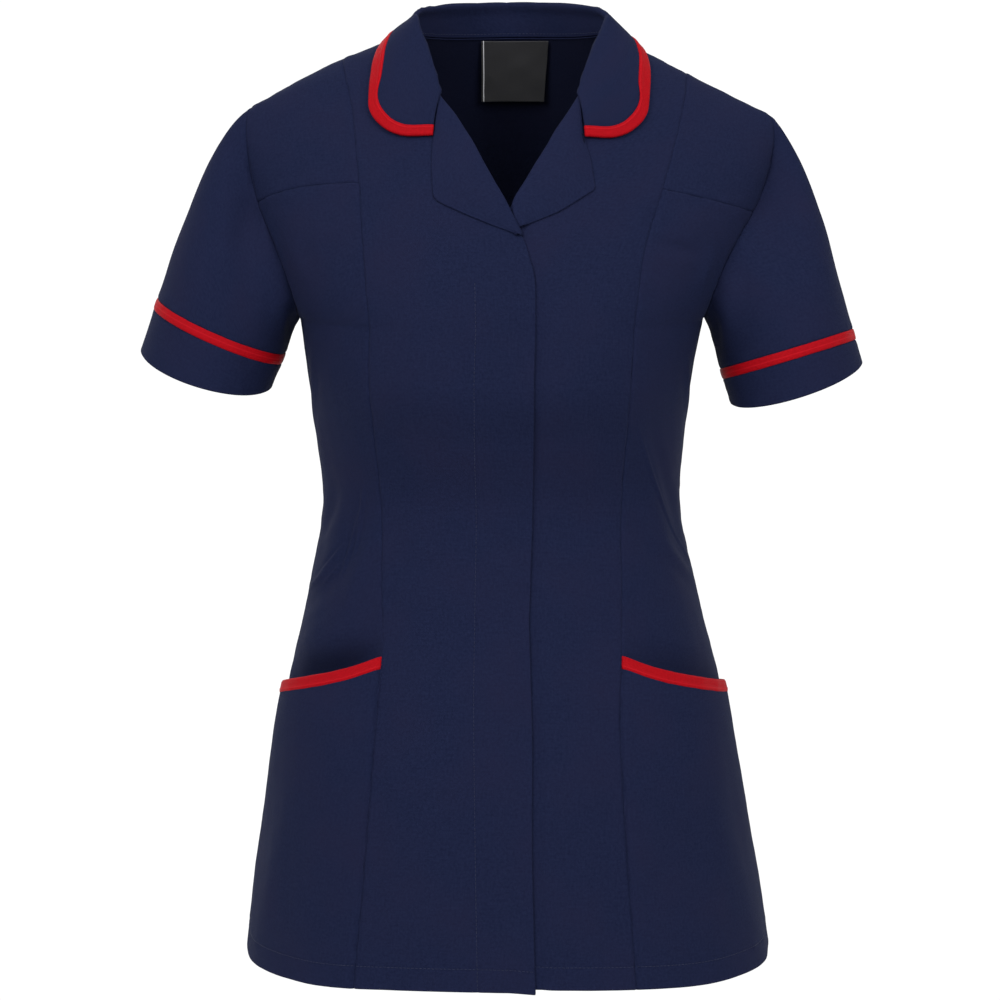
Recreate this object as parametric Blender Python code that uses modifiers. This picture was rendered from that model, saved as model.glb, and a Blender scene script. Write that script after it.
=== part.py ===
"""A women's short-sleeved work tunic, hollow and open at the neck, cuffs and hem.

Metres, +Z up, the front faces -Y. The origin is on the shoulder line, midway between the two sides
of the neck. The tunic's own right side is at -X, and its right front laps over the left.

Every piece is cut from one form. A place on it is a turn, in degrees from the centre front (90 is
the left side seam, -90 the right one and 180 the centre back), and a level, which is -1 at the hem,
0 at the underarm and 1 at the shoulder seam.
"""

import bisect
import math
from collections import namedtuple

import bmesh
import bpy
from mathutils import Vector

# Cloth and seams
WALL = 0.0012  # one layer of cloth, with what its seams add
SEAM = 0.0005  # between the outer faces of two sewn pieces; about 0.2 mm between the inner ones
LAYER = 0.0005  # between a piece and the one that it lies on
ON_TOP = WALL + LAYER

# Heights, and the line of the shoulders
HEM_Z = -0.711
UNDERARM_Z = -0.216
NECK_POINT_X = 0.077  # where the shoulder seam meets the neck
NECK_POINT_Z = 0.001
SHOULDER_TIP_X = 0.200
SHOULDER_SLOPE = {-1: 0.465, 1: 0.500}  # the two shoulders differ a little
SHOULDER_BOW = {-1: 0.0040, 1: 0.0}
SHOULDER_Y = 0.005  # the shoulder seam lies a little behind the side seam
SHOULDER_SWAY = 0.003

# How the form rounds over the shoulder
SHOULDER_ROUND = 0.105
NAPE_ROUND = 0.115
NAPE_RISE = 0.045
SIDE_FLARE = 0.120  # how fast the cloth spreads above the underarm, to go round the arm
TIP_TUCK = 0.050
NECK_DROP = 0.38  # how far down its level the back neck is cut
NECK_SHAPE = 1.4  # how square its curve is
GORGE_LEVEL = 0.62  # where the collar starts, on the roll line

# Bust fullness, taken up by the princess seams
BUST_OUT = 0.006
BUST_X = 0.078
BUST_Z = -0.250
BUST_WIDE = 0.045
BUST_HIGH = 0.055

# The left front runs on under the right one: it is down at its full depth, and up again, this many
# degrees past the lapped edge
LAP_COVERED = 1.1
LAP_CLEAR = 3.7
LAP_LEAST = 2.4  # the least turn that its covered part spans

# Sewn-on pieces
OVERHANG = 0.0035  # the lapping front hangs a little lower at its edge
BAND_WIDE = 0.0076  # red bands of the sleeves
EDGING_WIDE = 0.0080  # red edging of the collar
BINDING_WIDE = 0.0088  # red binding of the pockets
TRIM_WALL = 0.0018  # folded trim is thicker than one layer
POCKET_GAPE = 0.0068  # how far the mouth of a pocket stands off at its middle
ROLL_ROUND = 0.0014  # half the width of the collar's folded edge
FALL_PUFF = 0.0030  # how far the collar's fall stands out at its middle
FALL_LIFT = 0.0026  # how far its edge lies off the form
LAPEL_PUFF = 0.0004
LABEL_HANG = (0.0060, 0.0034)  # how far the label's foot and head hang from the back's outer face

NAVY = (0.014, 0.019, 0.050)
RED = (0.58, 0.008, 0.014)
BLACK = (0.006, 0.006, 0.008)

# The form below the underarm, in level rings
BodyRow = namedtuple("BodyRow", "z half_width front back squareness sway")
BODY = (
    BodyRow(-0.711, 0.2050, 0.1520, 0.1360, 2.40, 0.0025),
    BodyRow(-0.660, 0.1978, 0.1500, 0.1330, 2.40, 0.0015),
    BodyRow(-0.565, 0.1817, 0.1430, 0.1210, 2.36, 0.0000),
    BodyRow(-0.500, 0.1690, 0.1310, 0.1080, 2.32, -0.0010),
    BodyRow(-0.425, 0.1510, 0.1130, 0.0890, 2.26, -0.0020),
    BodyRow(-0.355, 0.1387, 0.1020, 0.0780, 2.20, -0.0030),
    BodyRow(-0.305, 0.1430, 0.1130, 0.0840, 2.20, -0.0040),
    BodyRow(-0.260, 0.1490, 0.1240, 0.0920, 2.20, -0.0040),
    BodyRow(-0.216, 0.1556, 0.1230, 0.0980, 2.20, -0.0025),
)

# The largest folds: a crease runs from one place to another, and sinks or stands out by its depth
FoldRow = namedtuple("FoldRow", "turn level to_turn to_level wide depth")
FOLDS = (
    FoldRow(-52, -0.30, -64, -0.44, 0.012, -0.0025),
    FoldRow(-66, -0.22, -80, -0.36, 0.014, -0.0022),
    FoldRow(50, -0.18, 66, -0.36, 0.013, 0.0024),
    FoldRow(66, -0.24, 78, -0.34, 0.012, -0.0020),
    FoldRow(118, -0.26, 134, -0.33, 0.014, -0.0028),
    FoldRow(140, -0.34, 158, -0.38, 0.014, -0.0024),
    FoldRow(-120, -0.30, -138, -0.35, 0.014, -0.0028),
    FoldRow(-148, -0.27, -163, -0.31, 0.013, -0.0022),
)

# Seams of the front, as turns. The edge is the lapped edge, and above it the roll line and the neck
SeamRow = namedtuple("SeamRow", "level right left")
PRINCESS = (
    SeamRow(-1.00, -34.6, 27.9),
    SeamRow(-0.79, -34.0, 28.6),
    SeamRow(-0.60, -34.2, 30.4),
    SeamRow(-0.50, -35.0, 34.0),
    SeamRow(-0.36, -39.2, 38.8),
    SeamRow(-0.26, -41.0, 41.4),
    SeamRow(-0.11, -41.0, 41.2),
    SeamRow(0.09, -37.4, 37.4),
    SeamRow(0.24, -35.3, 35.7),
    SeamRow(0.42, -34.2, 37.6),
    SeamRow(0.61, -34.8, 39.6),
    SeamRow(0.83, -37.7, 41.5),
    SeamRow(1.00, -39.5, 42.5),
)
EDGE = (
    SeamRow(-1.00, 5.6, -5.5),
    SeamRow(-0.86, 6.0, -5.5),
    SeamRow(-0.41, 8.2, -7.0),
    SeamRow(0.09, 6.9, -6.5),
    SeamRow(0.20, 5.9, -3.3),
    SeamRow(0.245, 4.2, -1.4),
    SeamRow(0.306, 1.2, 1.2),
    SeamRow(0.46, -6.7, 8.0),
    SeamRow(GORGE_LEVEL, -14.6, 14.6),
    SeamRow(0.80, -19.4, 19.4),
    SeamRow(1.00, -22.6, 22.6),
)

# The armholes, as turns either side of the side seam
ArmholeRow = namedtuple("ArmholeRow", "level front_right front_left back")
ARMHOLE = (
    ArmholeRow(0.000, 90.0, 90.0, 90.0),
    ArmholeRow(0.030, 79.5, 79.5, 100.0),
    ArmholeRow(0.075, 71.5, 71.5, 107.5),
    ArmholeRow(0.130, 66.6, 66.2, 112.0),
    ArmholeRow(0.200, 64.9, 64.4, 113.5),
    ArmholeRow(0.306, 66.3, 65.6, 112.5),
    ArmholeRow(0.420, 70.3, 72.0, 110.0),
    ArmholeRow(0.520, 72.0, 79.0, 108.0),
    ArmholeRow(0.620, 73.0, 81.4, 106.5),
    ArmholeRow(0.750, 74.6, 81.0, 104.5),
    ArmholeRow(0.870, 77.0, 80.0, 102.4),
    ArmholeRow(1.000, 80.0, 80.0, 100.0),
)

# The seam across each side front: its levels at the princess seam and the armhole, and its bow
YokeRow = namedtuple("YokeRow", "princess armhole bow")
YOKE = {-1: YokeRow(0.420, 0.442, 0.018), 1: YokeRow(0.420, 0.418, 0.006)}

# Where each sleeve's band and hem lie: a tilted ring, low at the front by its dip
RingRow = namedtuple("RingRow", "x y z half_width half_depth lean dip")
BAND_RING = {
    -1: RingRow(-0.2205, -0.004, -0.2262, 0.0535, 0.0590, 23.7, 0.0020),
    1: RingRow(0.2190, -0.004, -0.2445, 0.0532, 0.0590, 16.9, -0.0055),
}
HEM_RING = {
    -1: RingRow(-0.2305, -0.007, -0.2540, 0.0528, 0.0580, 16.2, 0.0105),
    1: RingRow(0.2252, -0.007, -0.2650, 0.0534, 0.0580, 18.0, 0.0060),
}
HeadRow = namedtuple("HeadRow", "share out_right out_left forward down")
SLEEVE_HEAD = (  # how the sleeve leaves the armhole, from the underarm to the shoulder tip
    HeadRow(0.00, 0.020, 0.020, 0.000, 0.030),
    HeadRow(0.30, 0.045, 0.042, 0.020, 0.040),
    HeadRow(0.60, 0.075, 0.062, 0.035, 0.045),
    HeadRow(1.00, 0.116, 0.116, 0.000, 0.047),
)
SLEEVE_ARRIVE = 0.85  # how straight it reaches its band

# The collar, from the gorge (0) past the neck point (1) to the centre back (2). Its fold stands
# inward and up from the neck seam, and its edge lies at a turn (from the front or back) and level
CollarRow = namedtuple("CollarRow", "around inward up edge_right edge_left edge_level")
COLLAR = (
    CollarRow(0.0, 0.0010, 0.0035, 15.6, 17.1, 0.496),
    CollarRow(0.2, 0.0030, 0.0065, 21.5, 22.8, 0.512),
    CollarRow(0.4, 0.0050, 0.0095, 27.0, 27.8, 0.552),
    CollarRow(0.6, 0.0070, 0.0125, 30.6, 31.2, 0.636),
    CollarRow(0.8, 0.0085, 0.0155, 29.6, 31.0, 0.780),
    CollarRow(1.0, 0.0100, 0.0185, 25.0, 27.6, 1.000),
    CollarRow(1.3, 0.0070, 0.0225, 24.0, 25.0, 0.810),
    CollarRow(1.6, 0.0040, 0.0255, 16.5, 16.5, 0.640),
    CollarRow(1.85, 0.0023, 0.0268, 6.5, 6.5, 0.563),
    CollarRow(2.0, 0.0020, 0.0270, 0.0, 0.0, 0.558),
)

# Each lapel, from its foot to the gorge: its roll line, and its rim on the front
LapelRow = namedtuple("LapelRow", "along roll_turn roll_level rim_turn rim_level")
LAPEL = {
    -1: (
        LapelRow(0.00, 4.3, 0.247, 3.1, 0.247),
        LapelRow(0.25, 1.0, 0.308, -6.0, 0.290),
        LapelRow(0.50, -4.8, 0.420, -15.9, 0.335),
        LapelRow(0.75, -9.8, 0.520, -16.0, 0.420),
        LapelRow(1.00, -14.3, 0.612, -15.2, 0.492),
    ),
    1: (
        LapelRow(0.00, 3.9, 0.266, 5.2, 0.268),
        LapelRow(0.25, 2.6, 0.312, 12.2, 0.325),
        LapelRow(0.50, 6.4, 0.420, 20.5, 0.380),
        LapelRow(0.75, 10.8, 0.520, 19.0, 0.445),
        LapelRow(1.00, 14.3, 0.612, 16.6, 0.492),
    ),
}

# The pocket mouths, from the princess seam (0) to the side seam (1), as levels
MouthRow = namedtuple("MouthRow", "across right left")
MOUTH = (
    MouthRow(0.00, -0.500, -0.497),
    MouthRow(0.20, -0.523, -0.520),
    MouthRow(0.45, -0.544, -0.543),
    MouthRow(0.70, -0.559, -0.558),
    MouthRow(1.00, -0.572, -0.569),
)

LOWER_ROWS = 14
LOWER_LEVELS = [k / LOWER_ROWS - 1 for k in range(LOWER_ROWS)]
UPPER_LEVELS = [0.0, 0.03, 0.075, 0.13, 0.2, 0.245, 0.306, 0.42, 0.52, 0.62, 0.74, 0.85, 0.93, 0.975, 1.0]
YOKE_ROW = UPPER_LEVELS.index(0.42)
FRONT_COLUMNS = 6
SIDE_COLUMNS = 7
BACK_SIDE_COLUMNS = 6
BACK_NECK_COLUMNS = 4
HOOK_TOP = 0.13  # the armhole hooks out to the side seam below this level
EASE_LEVEL = -0.35  # the columns start to come round to it from this level
SLEEVE_ROWS = 7
SLEEVE_GROWTH = 1.5  # the rows of a sleeve are closest at the armhole

# The label inside the back neck
LABEL_TURNS = (170.3, 186.0)
LABEL_Z = (-0.0530, -0.0050)
LABEL_WALL = 0.0010


def through(rows, key, column, at):
    """A table's column at a place between its rows, on a smooth curve that never overshoots."""
    keys = [getattr(row, key) for row in rows]
    values = [getattr(row, column) for row in rows]
    at = min(max(at, keys[0]), keys[-1])
    i = min(max(bisect.bisect_right(keys, at) - 1, 0), len(keys) - 2)
    steps = [(values[k + 1] - values[k]) / (keys[k + 1] - keys[k]) for k in range(len(keys) - 1)]

    def slope(k):
        if k in (0, len(keys) - 1):
            return steps[min(k, len(steps) - 1)]
        before, after = steps[k - 1], steps[k]
        return 0.0 if before * after <= 0 else 2 * before * after / (before + after)

    span = keys[i + 1] - keys[i]
    t = (at - keys[i]) / span
    return (
        values[i] * (1 + 2 * t) * (1 - t) ** 2
        + values[i + 1] * t * t * (3 - 2 * t)
        + span * (slope(i) * t * (1 - t) ** 2 - slope(i + 1) * t * t * (1 - t))
    )


def curve(start, start_pull, end, end_pull, t):
    """A smooth curve between two points, with the pull that it leaves and arrives with."""
    return (
        start * ((1 + 2 * t) * (1 - t) ** 2)
        + start_pull * (t * (1 - t) ** 2)
        + end * (t * t * (3 - 2 * t))
        - end_pull * (t * t * (1 - t))
    )


def mix(a, b, share):
    return a + (b - a) * share


def smooth(value):
    value = min(max(value, 0.0), 1.0)
    return value * value * (3 - 2 * value)


# The form


def trunk(turn, z):
    """A point of the form below the underarm."""
    across = math.sin(math.radians(turn))
    power = through(BODY, "z", "squareness", z)
    out = max(0.0, 1 - abs(across) ** power) ** (1 / power)
    is_back = math.cos(math.radians(turn)) < 0
    depth = through(BODY, "z", "back", z) if is_back else -through(BODY, "z", "front", z)
    x = through(BODY, "z", "sway", z) + across * through(BODY, "z", "half_width", z)
    return Vector((x, depth * out, z))


def shoulder_line(across, is_back):
    """The top of the form: the shoulder seam, and inside the neck the line that carries it on."""
    x = SHOULDER_TIP_X * across
    side = 1 if x > 0 else -1
    slope = SHOULDER_SLOPE[side]
    inside = 1 - (x / NECK_POINT_X) ** 2
    if inside <= 0:
        z = NECK_POINT_Z - slope * (abs(x) - NECK_POINT_X)
        along = (abs(x) - NECK_POINT_X) / (SHOULDER_TIP_X - NECK_POINT_X)
        z += SHOULDER_BOW[side] * math.sin(math.pi * along)
    else:
        z = NECK_POINT_Z + slope * NECK_POINT_X * inside / 2
        z += NAPE_RISE * inside**2 if is_back else 0.0
    return Vector((x + SHOULDER_SWAY, SHOULDER_Y, z)), max(0.0, inside)


def shoulders(turn, level):
    """A point of the form above the underarm."""
    across = math.sin(math.radians(turn))
    is_back = math.cos(math.radians(turn)) < 0
    bottom = trunk(turn, UNDERARM_Z)
    step = 0.004
    top, inside = shoulder_line(across, is_back)
    start = (bottom - trunk(turn, UNDERARM_Z - step)) * ((top.z - bottom.z) / step)
    start.x = SIDE_FLARE * across
    bow = max(0.0, 1 - across * across) ** 0.25
    over = (SHOULDER_ROUND + (NAPE_ROUND * inside**2 if is_back else 0.0)) * bow
    end = Vector((-TIP_TUCK * across, -over if is_back else over, 0.0))
    return curve(bottom, start, top, end, level)


def bust(point):
    """How far the princess seams let the front stand out."""
    wide = (abs(point.x) - BUST_X) / BUST_WIDE
    high = (point.z - BUST_Z) / BUST_HIGH
    return BUST_OUT * math.exp(-wide * wide - high * high)


def plain_form(turn, level):
    if level <= 0:
        point = trunk(turn, UNDERARM_Z + level * (UNDERARM_Z - HEM_Z))
    else:
        point = shoulders(turn, level)
    if math.cos(math.radians(turn)) > 0:
        point.y -= bust(point)
    return point


def outward(turn, level):
    """The direction that the form faces there."""
    turn_step, level_step = 0.5, 0.01
    high = min(level + level_step, 0.998)
    low = high - 2 * level_step
    along = plain_form(turn + turn_step, level) - plain_form(turn - turn_step, level)
    up = plain_form(turn, high) - plain_form(turn, low)
    return along.cross(up).normalized()


def fold_depth(point):
    """How far the largest folds move this point of the form in or out."""
    depth = 0.0
    for fold in FOLDS:
        start = plain_form(fold.turn, fold.level)
        run = plain_form(fold.to_turn, fold.to_level) - start
        along = min(max((point - start).dot(run) / run.length_squared, 0.0), 1.0)
        away = (point - start - run * along).length / fold.wide
        depth += fold.depth * math.exp(-away * away) * math.sin(math.pi * (0.1 + 0.8 * along))
    return depth


def form(turn, level, out=0.0):
    """A point of the form's outer face, or one that lies out from it."""
    turn = (turn + 180) % 360 - 180
    point = plain_form(turn, level)
    lift = out + (fold_depth(point) if level < 0.1 else 0.0)
    return point + outward(turn, level) * lift if lift else point


# Making pieces

PARTS = "work_tunic"


def clear_scene():
    for obj in list(bpy.data.objects):
        bpy.data.objects.remove(obj, do_unlink=True)
    collection = bpy.data.collections.new(PARTS)
    bpy.context.scene.collection.children.link(collection)


def cloth_material(name, colour, roughness):
    material = bpy.data.materials.new(name)
    material.use_nodes = True
    shader = material.node_tree.nodes["Principled BSDF"]
    shader.inputs["Base Color"].default_value = (*colour, 1.0)
    shader.inputs["Roughness"].default_value = roughness
    shader.inputs["Metallic"].default_value = 0.0
    material.diffuse_color = (*colour, 1.0)
    return material


def pull_in(rows, sides):
    """Draws the named sides of a grid in by half a seam's gap."""
    moved = [list(row) for row in rows]
    pairs = {
        "bottom": [((0, k), (1, k)) for k in range(len(rows[0]))],
        "top": [((-1, k), (-2, k)) for k in range(len(rows[0]))],
        "start": [((k, 0), (k, 1)) for k in range(len(rows))],
        "end": [((k, -1), (k, -2)) for k in range(len(rows))],
    }
    for side in sides:
        for (row, column), (to_row, to_column) in pairs[side]:
            inward = (rows[to_row][to_column] - rows[row][column]).normalized()
            moved[row][column] = moved[row][column] + inward * (SEAM / 2)
    return moved


def cloth(name, rows, colour, wall=WALL, is_tube=False, centred=False):
    """A piece of cloth: a grid of points on its outer face, thickened on the inner side."""
    build = bmesh.new()
    grid = [[build.verts.new(point) for point in row] for row in rows]
    count = len(grid[0])
    for low, high in zip(grid, grid[1:]):
        for k in range(count if is_tube else count - 1):
            after = (k + 1) % count
            build.faces.new((low[k], low[after], high[after], high[k]))
    mesh = bpy.data.meshes.new(name)
    build.to_mesh(mesh)
    build.free()
    mesh.shade_smooth()
    piece = bpy.data.objects.new(name, mesh)
    bpy.data.collections[PARTS].objects.link(piece)
    mesh.materials.append(cloth_material(name, colour, 0.85))
    thickness = piece.modifiers.new("Thickness", "SOLIDIFY")
    thickness.thickness = wall
    thickness.offset = 0.0 if centred else -1.0
    return piece


def side_name(side):
    return "left" if side > 0 else "right"


def seam(table, side, level):
    return through(table, "level", side_name(side), level)


# Body panels


def front_right():
    """Centre panel that laps over the other, with its placket turned in along the edge."""
    rows = []
    for level in LOWER_LEVELS + UPPER_LEVELS:
        outer, inner = seam(PRINCESS, -1, level), seam(EDGE, -1, level)
        row = [form(mix(outer, inner, k / FRONT_COLUMNS), level) for k in range(FRONT_COLUMNS + 1)]
        rows.append(row)
    for k, point in enumerate(rows[0]):
        point.z -= OVERHANG * (k / FRONT_COLUMNS) ** 2
    cloth("front_right", pull_in(rows, ("start", "end", "top")), NAVY)


def under_depth(turn, level):
    """How far the left front sinks to pass under the right one."""
    past = (turn - seam(EDGE, -1, level) - LAP_COVERED) / (LAP_CLEAR - LAP_COVERED)
    return -ON_TOP * (1 - smooth(past))


def front_left():
    """Centre panel that runs on under the other, as the fastening's under side."""
    under_columns = 3
    rows = []
    for level in LOWER_LEVELS + UPPER_LEVELS:
        inner, outer = seam(EDGE, 1, level), seam(PRINCESS, 1, level)
        covered = max(seam(EDGE, -1, level) + LAP_COVERED, inner + LAP_LEAST)
        clear = covered + LAP_CLEAR - LAP_COVERED
        columns = FRONT_COLUMNS - 1
        turns = [mix(inner, covered, k / under_columns) for k in range(under_columns + 1)]
        turns += [mix(clear, outer, k / columns) for k in range(columns + 1)]
        rows.append([form(turn, level, under_depth(turn, level)) for turn in turns])
    cloth("front_left", pull_in(rows, ("start", "end", "top")), NAVY)


def armhole_turns(start, column, level, count):
    """Turns from a seam to the armhole. Only the last ones follow its hook under the arm, and the
    rest come round to it slowly, from below."""
    end = through(ARMHOLE, "level", column, max(level, 0.0))
    above_hook = through(ARMHOLE, "level", column, max(level, HOOK_TOP))
    easy = mix(90, above_hook, smooth((level - EASE_LEVEL) / (HOOK_TOP - EASE_LEVEL)))
    turns = [mix(start, easy, k / count) for k in range(count - 1)]
    return turns + [(turns[-1] + end) / 2, end]


def side_grid(side, indices):
    """Points of a side front, from the princess seam to the side seam or the armhole."""
    levels = LOWER_LEVELS + UPPER_LEVELS
    yoke = YOKE[side]
    yoke_index = LOWER_ROWS + YOKE_ROW
    rows = []
    for index in indices:
        level = levels[index]
        at_armhole = yoke.armhole if index == yoke_index else level
        bow = yoke.bow if index == yoke_index else 0.0
        start = abs(seam(PRINCESS, side, level))
        turns = armhole_turns(start, "front_" + side_name(side), at_armhole, SIDE_COLUMNS)
        row = []
        for turn in turns:
            share = (turn - start) / (turns[-1] - start)
            here = mix(level, at_armhole, share) + bow * math.sin(math.pi * share)
            row.append(form(side * turn, here))
        rows.append(row if side > 0 else row[::-1])
    return rows


def side_front(side):
    yoke_index = LOWER_ROWS + YOKE_ROW
    last = LOWER_ROWS + len(UPPER_LEVELS) - 1
    lower = side_grid(side, range(yoke_index + 1))
    upper = side_grid(side, range(yoke_index, last + 1))
    name = side_name(side)
    cloth("side_front_" + name, pull_in(lower, ("start", "end", "top")), NAVY)
    cloth("upper_front_" + name, pull_in(upper, ("start", "end", "top", "bottom")), NAVY)


def back_neck(beta):
    """The back neck seam as a turn from the centre back and a level. beta is 0 at the neck point
    and 90 at the centre back."""
    turn = math.degrees(math.asin(NECK_POINT_X * math.cos(math.radians(beta)) / SHOULDER_TIP_X))
    return turn, 1 - NECK_DROP * math.sin(math.radians(beta)) ** NECK_SHAPE


def back_turns(level):
    """Turns across the back at a level, with the level that each column's top reaches."""
    neck_turn, _ = back_neck(0)
    half = []
    columns = BACK_SIDE_COLUMNS + BACK_NECK_COLUMNS
    evenly = armhole_turns(180, "back", level, columns)[::-1]
    for k, even in enumerate(evenly):
        if k <= BACK_SIDE_COLUMNS:
            shaped, top = mix(evenly[0], 180 - neck_turn, k / BACK_SIDE_COLUMNS), 1.0
        else:
            from_back, top = back_neck(90 * (k - BACK_SIDE_COLUMNS) / BACK_NECK_COLUMNS)
            shaped = 180 - from_back
        half.append((mix(even, shaped, smooth(level)), top))
    return half + [(360 - turn, top) for turn, top in half[-2::-1]]


def back():
    rows = []
    for level in LOWER_LEVELS:
        rows.append([form(turn, level) for turn, _ in back_turns(level)])
    for level in UPPER_LEVELS:
        rows.append([form(turn, level * top) for turn, top in back_turns(level)])
    cloth("back", pull_in(rows, ("start", "end", "top")), NAVY)


# Sleeves


def armhole_loop(side):
    """The armhole's points, from the underarm up the front and down the back. Each has its share
    of the way from the underarm to the shoulder tip, and +1 on the front or -1 on the back."""
    yoke = YOKE[side]
    loop = []
    for is_front in (True, False):
        levels = list(UPPER_LEVELS)
        if is_front:
            levels[YOKE_ROW] = yoke.armhole
        column = "front_" + side_name(side) if is_front else "back"
        turns = [side * through(ARMHOLE, "level", column, level) for level in levels]
        points = [form(turn, level) for turn, level in zip(turns, levels)]
        lengths = [0.0]
        for a, b in zip(points, points[1:]):
            lengths.append(lengths[-1] + (b - a).length)
        half = [(p, length / lengths[-1]) for p, length in zip(points, lengths)]
        facing = 1 if is_front else -1
        half = half[:-1] if is_front else half[:0:-1]
        loop += [(point, share, facing) for point, share in half]
    return loop


def ring_point(ring, side, share, facing):
    """A point of a tilted ring; share is 0 on the body's side and 1 on the outer side."""
    angle = math.pi * share
    inward = Vector((-side * math.cos(math.radians(ring.lean)), 0, -math.sin(math.radians(ring.lean))))
    forward = facing * math.sin(angle)
    centre = Vector((ring.x, ring.y, ring.z))
    point = centre + inward * (ring.half_width * math.cos(angle))
    return point + Vector((0, -ring.half_depth * forward, -ring.dip * forward))


def sleeve_line(side, point, share, facing):
    """A sleeve's lengthwise line: from the armhole to its band, and on to its hem."""
    band = ring_point(BAND_RING[side], side, share, facing)
    hem = ring_point(HEM_RING[side], side, share, facing)
    out = through(SLEEVE_HEAD, "share", "out_" + side_name(side), share)
    forward = through(SLEEVE_HEAD, "share", "forward", share)
    down = through(SLEEVE_HEAD, "share", "down", share)
    pull = Vector((side * out, -facing * forward, -down))
    arrive = (hem - band).normalized() * ((band - point).length * SLEEVE_ARRIVE)
    return pull, band, arrive, hem


def sleeve(side):
    loop = armhole_loop(side)
    upper = [[] for _ in range(SLEEVE_ROWS + 1)]
    band_rows, cuff_rows = [[], [], []], [[], [], [], []]
    for point, share, facing in loop:
        pull, band, arrive, hem = sleeve_line(side, point, share, facing)
        length = (band - point).length
        last = 1 - (BAND_WIDE + SEAM) / 2 / length
        first = SEAM / length
        for k in range(SLEEVE_ROWS + 1):
            at = mix(first, last, (k / SLEEVE_ROWS) ** SLEEVE_GROWTH)
            upper[k].append(curve(point, pull, band, arrive, at))
        fall = (hem - band).normalized()
        for k, place in enumerate((-0.5, 0.0, 0.5)):
            if place < 0:
                at = curve(point, pull, band, arrive, 1 - (BAND_WIDE - SEAM) / 2 / length)
            else:
                at = band + fall * (place * (BAND_WIDE - SEAM))
            band_rows[k].append(at)
        cuff_top = band + fall * ((BAND_WIDE + SEAM) / 2)
        for k in range(4):
            cuff_rows[k].append(mix(cuff_top, hem, k / 3))
    name = side_name(side)
    if side > 0:
        upper, band_rows, cuff_rows = upper[::-1], band_rows[::-1], cuff_rows[::-1]
    cloth("sleeve_" + name, upper, NAVY, is_tube=True)
    cloth("sleeve_band_" + name, band_rows, RED, is_tube=True)
    cloth("cuff_" + name, cuff_rows, NAVY, is_tube=True)


# Collar and lapels


def collar_seam(side, around):
    """The neck seam at a place of the collar, as a turn and a level."""
    if around <= 1:
        level = mix(GORGE_LEVEL, 1.0, around)
        return seam(EDGE, side, level), level
    turn, level = back_neck(90 * (around - 1))
    return side * (180 - turn), level


def collar_section(side, around):
    """Points across the collar: up the stand, over the fold and down the fall to its edge, and the
    share of the fall where the red edging starts."""
    turn, level = collar_seam(side, around)
    edge_turn = through(COLLAR, "around", "edge_" + side_name(side), around)
    edge_turn = side * (edge_turn if around <= 1 else 180 - edge_turn)
    edge_level = through(COLLAR, "around", "edge_level", around)
    foot = form(turn, level)
    inward = Vector((SHOULDER_SWAY - foot.x, -foot.y if around > 1 else 0.0, 0)).normalized()
    stand = inward * through(COLLAR, "around", "inward", around)
    stand.z = through(COLLAR, "around", "up", around)
    points = [foot + stand * share for share in (0.05, 0.5)]
    fold = foot + stand
    drop = Vector((0, 0, -ROLL_ROUND))
    points += [fold + inward * ROLL_ROUND + drop, fold]

    def fall(share):
        at = form(mix(turn, edge_turn, share), mix(level, edge_level, share), FALL_LIFT * share)
        puff = outward(mix(turn, edge_turn, share), mix(level, edge_level, share))
        puff = puff * (FALL_PUFF * math.sin(math.pi * share))
        return at + stand * (1 - share) ** 2 + puff

    wide = (fall(1) - fall(0.8)).length / 0.2
    edging = 1 - EDGING_WIDE / wide
    return points, fall, edging


def collar():
    steps = 20
    fall_steps = 5
    rows, edging_rows = [], []
    for k in range(-steps, steps + 1):
        side = -1 if k < 0 else 1
        around = 2 - (2 - 0.012) * abs(k) / steps
        points, fall, edging = collar_section(side, around)
        stop = edging - 2 * SEAM / EDGING_WIDE * (1 - edging)
        rows.append(points + [fall(stop * (j + 1) / fall_steps) for j in range(fall_steps)])
        edging_rows.append([fall(mix(edging, 1, j / 2)) for j in range(3)])
    cloth("collar", rows, NAVY, centred=True)
    cloth("collar_edging", edging_rows, RED, wall=TRIM_WALL, centred=True)


def lapel(side):
    """A turned-back facing, on top of the front and its own roll line."""
    rows, steps, columns = [], 12, 5
    table = LAPEL[side]
    for k in range(steps + 1):
        along = k / steps
        roll = [through(table, "along", key, along) for key in ("roll_turn", "roll_level")]
        rim = [through(table, "along", key, along) for key in ("rim_turn", "rim_level")]
        row = []
        for j in range(columns + 1):
            share = j / columns
            lift = ON_TOP + LAPEL_PUFF * math.sin(math.pi * share)
            row.append(form(mix(roll[0], rim[0], share), mix(roll[1], rim[1], share), lift))
        rows.append(row if side > 0 else row[::-1])
    cloth("lapel_" + side_name(side), rows, NAVY)


# Pockets and label


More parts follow.
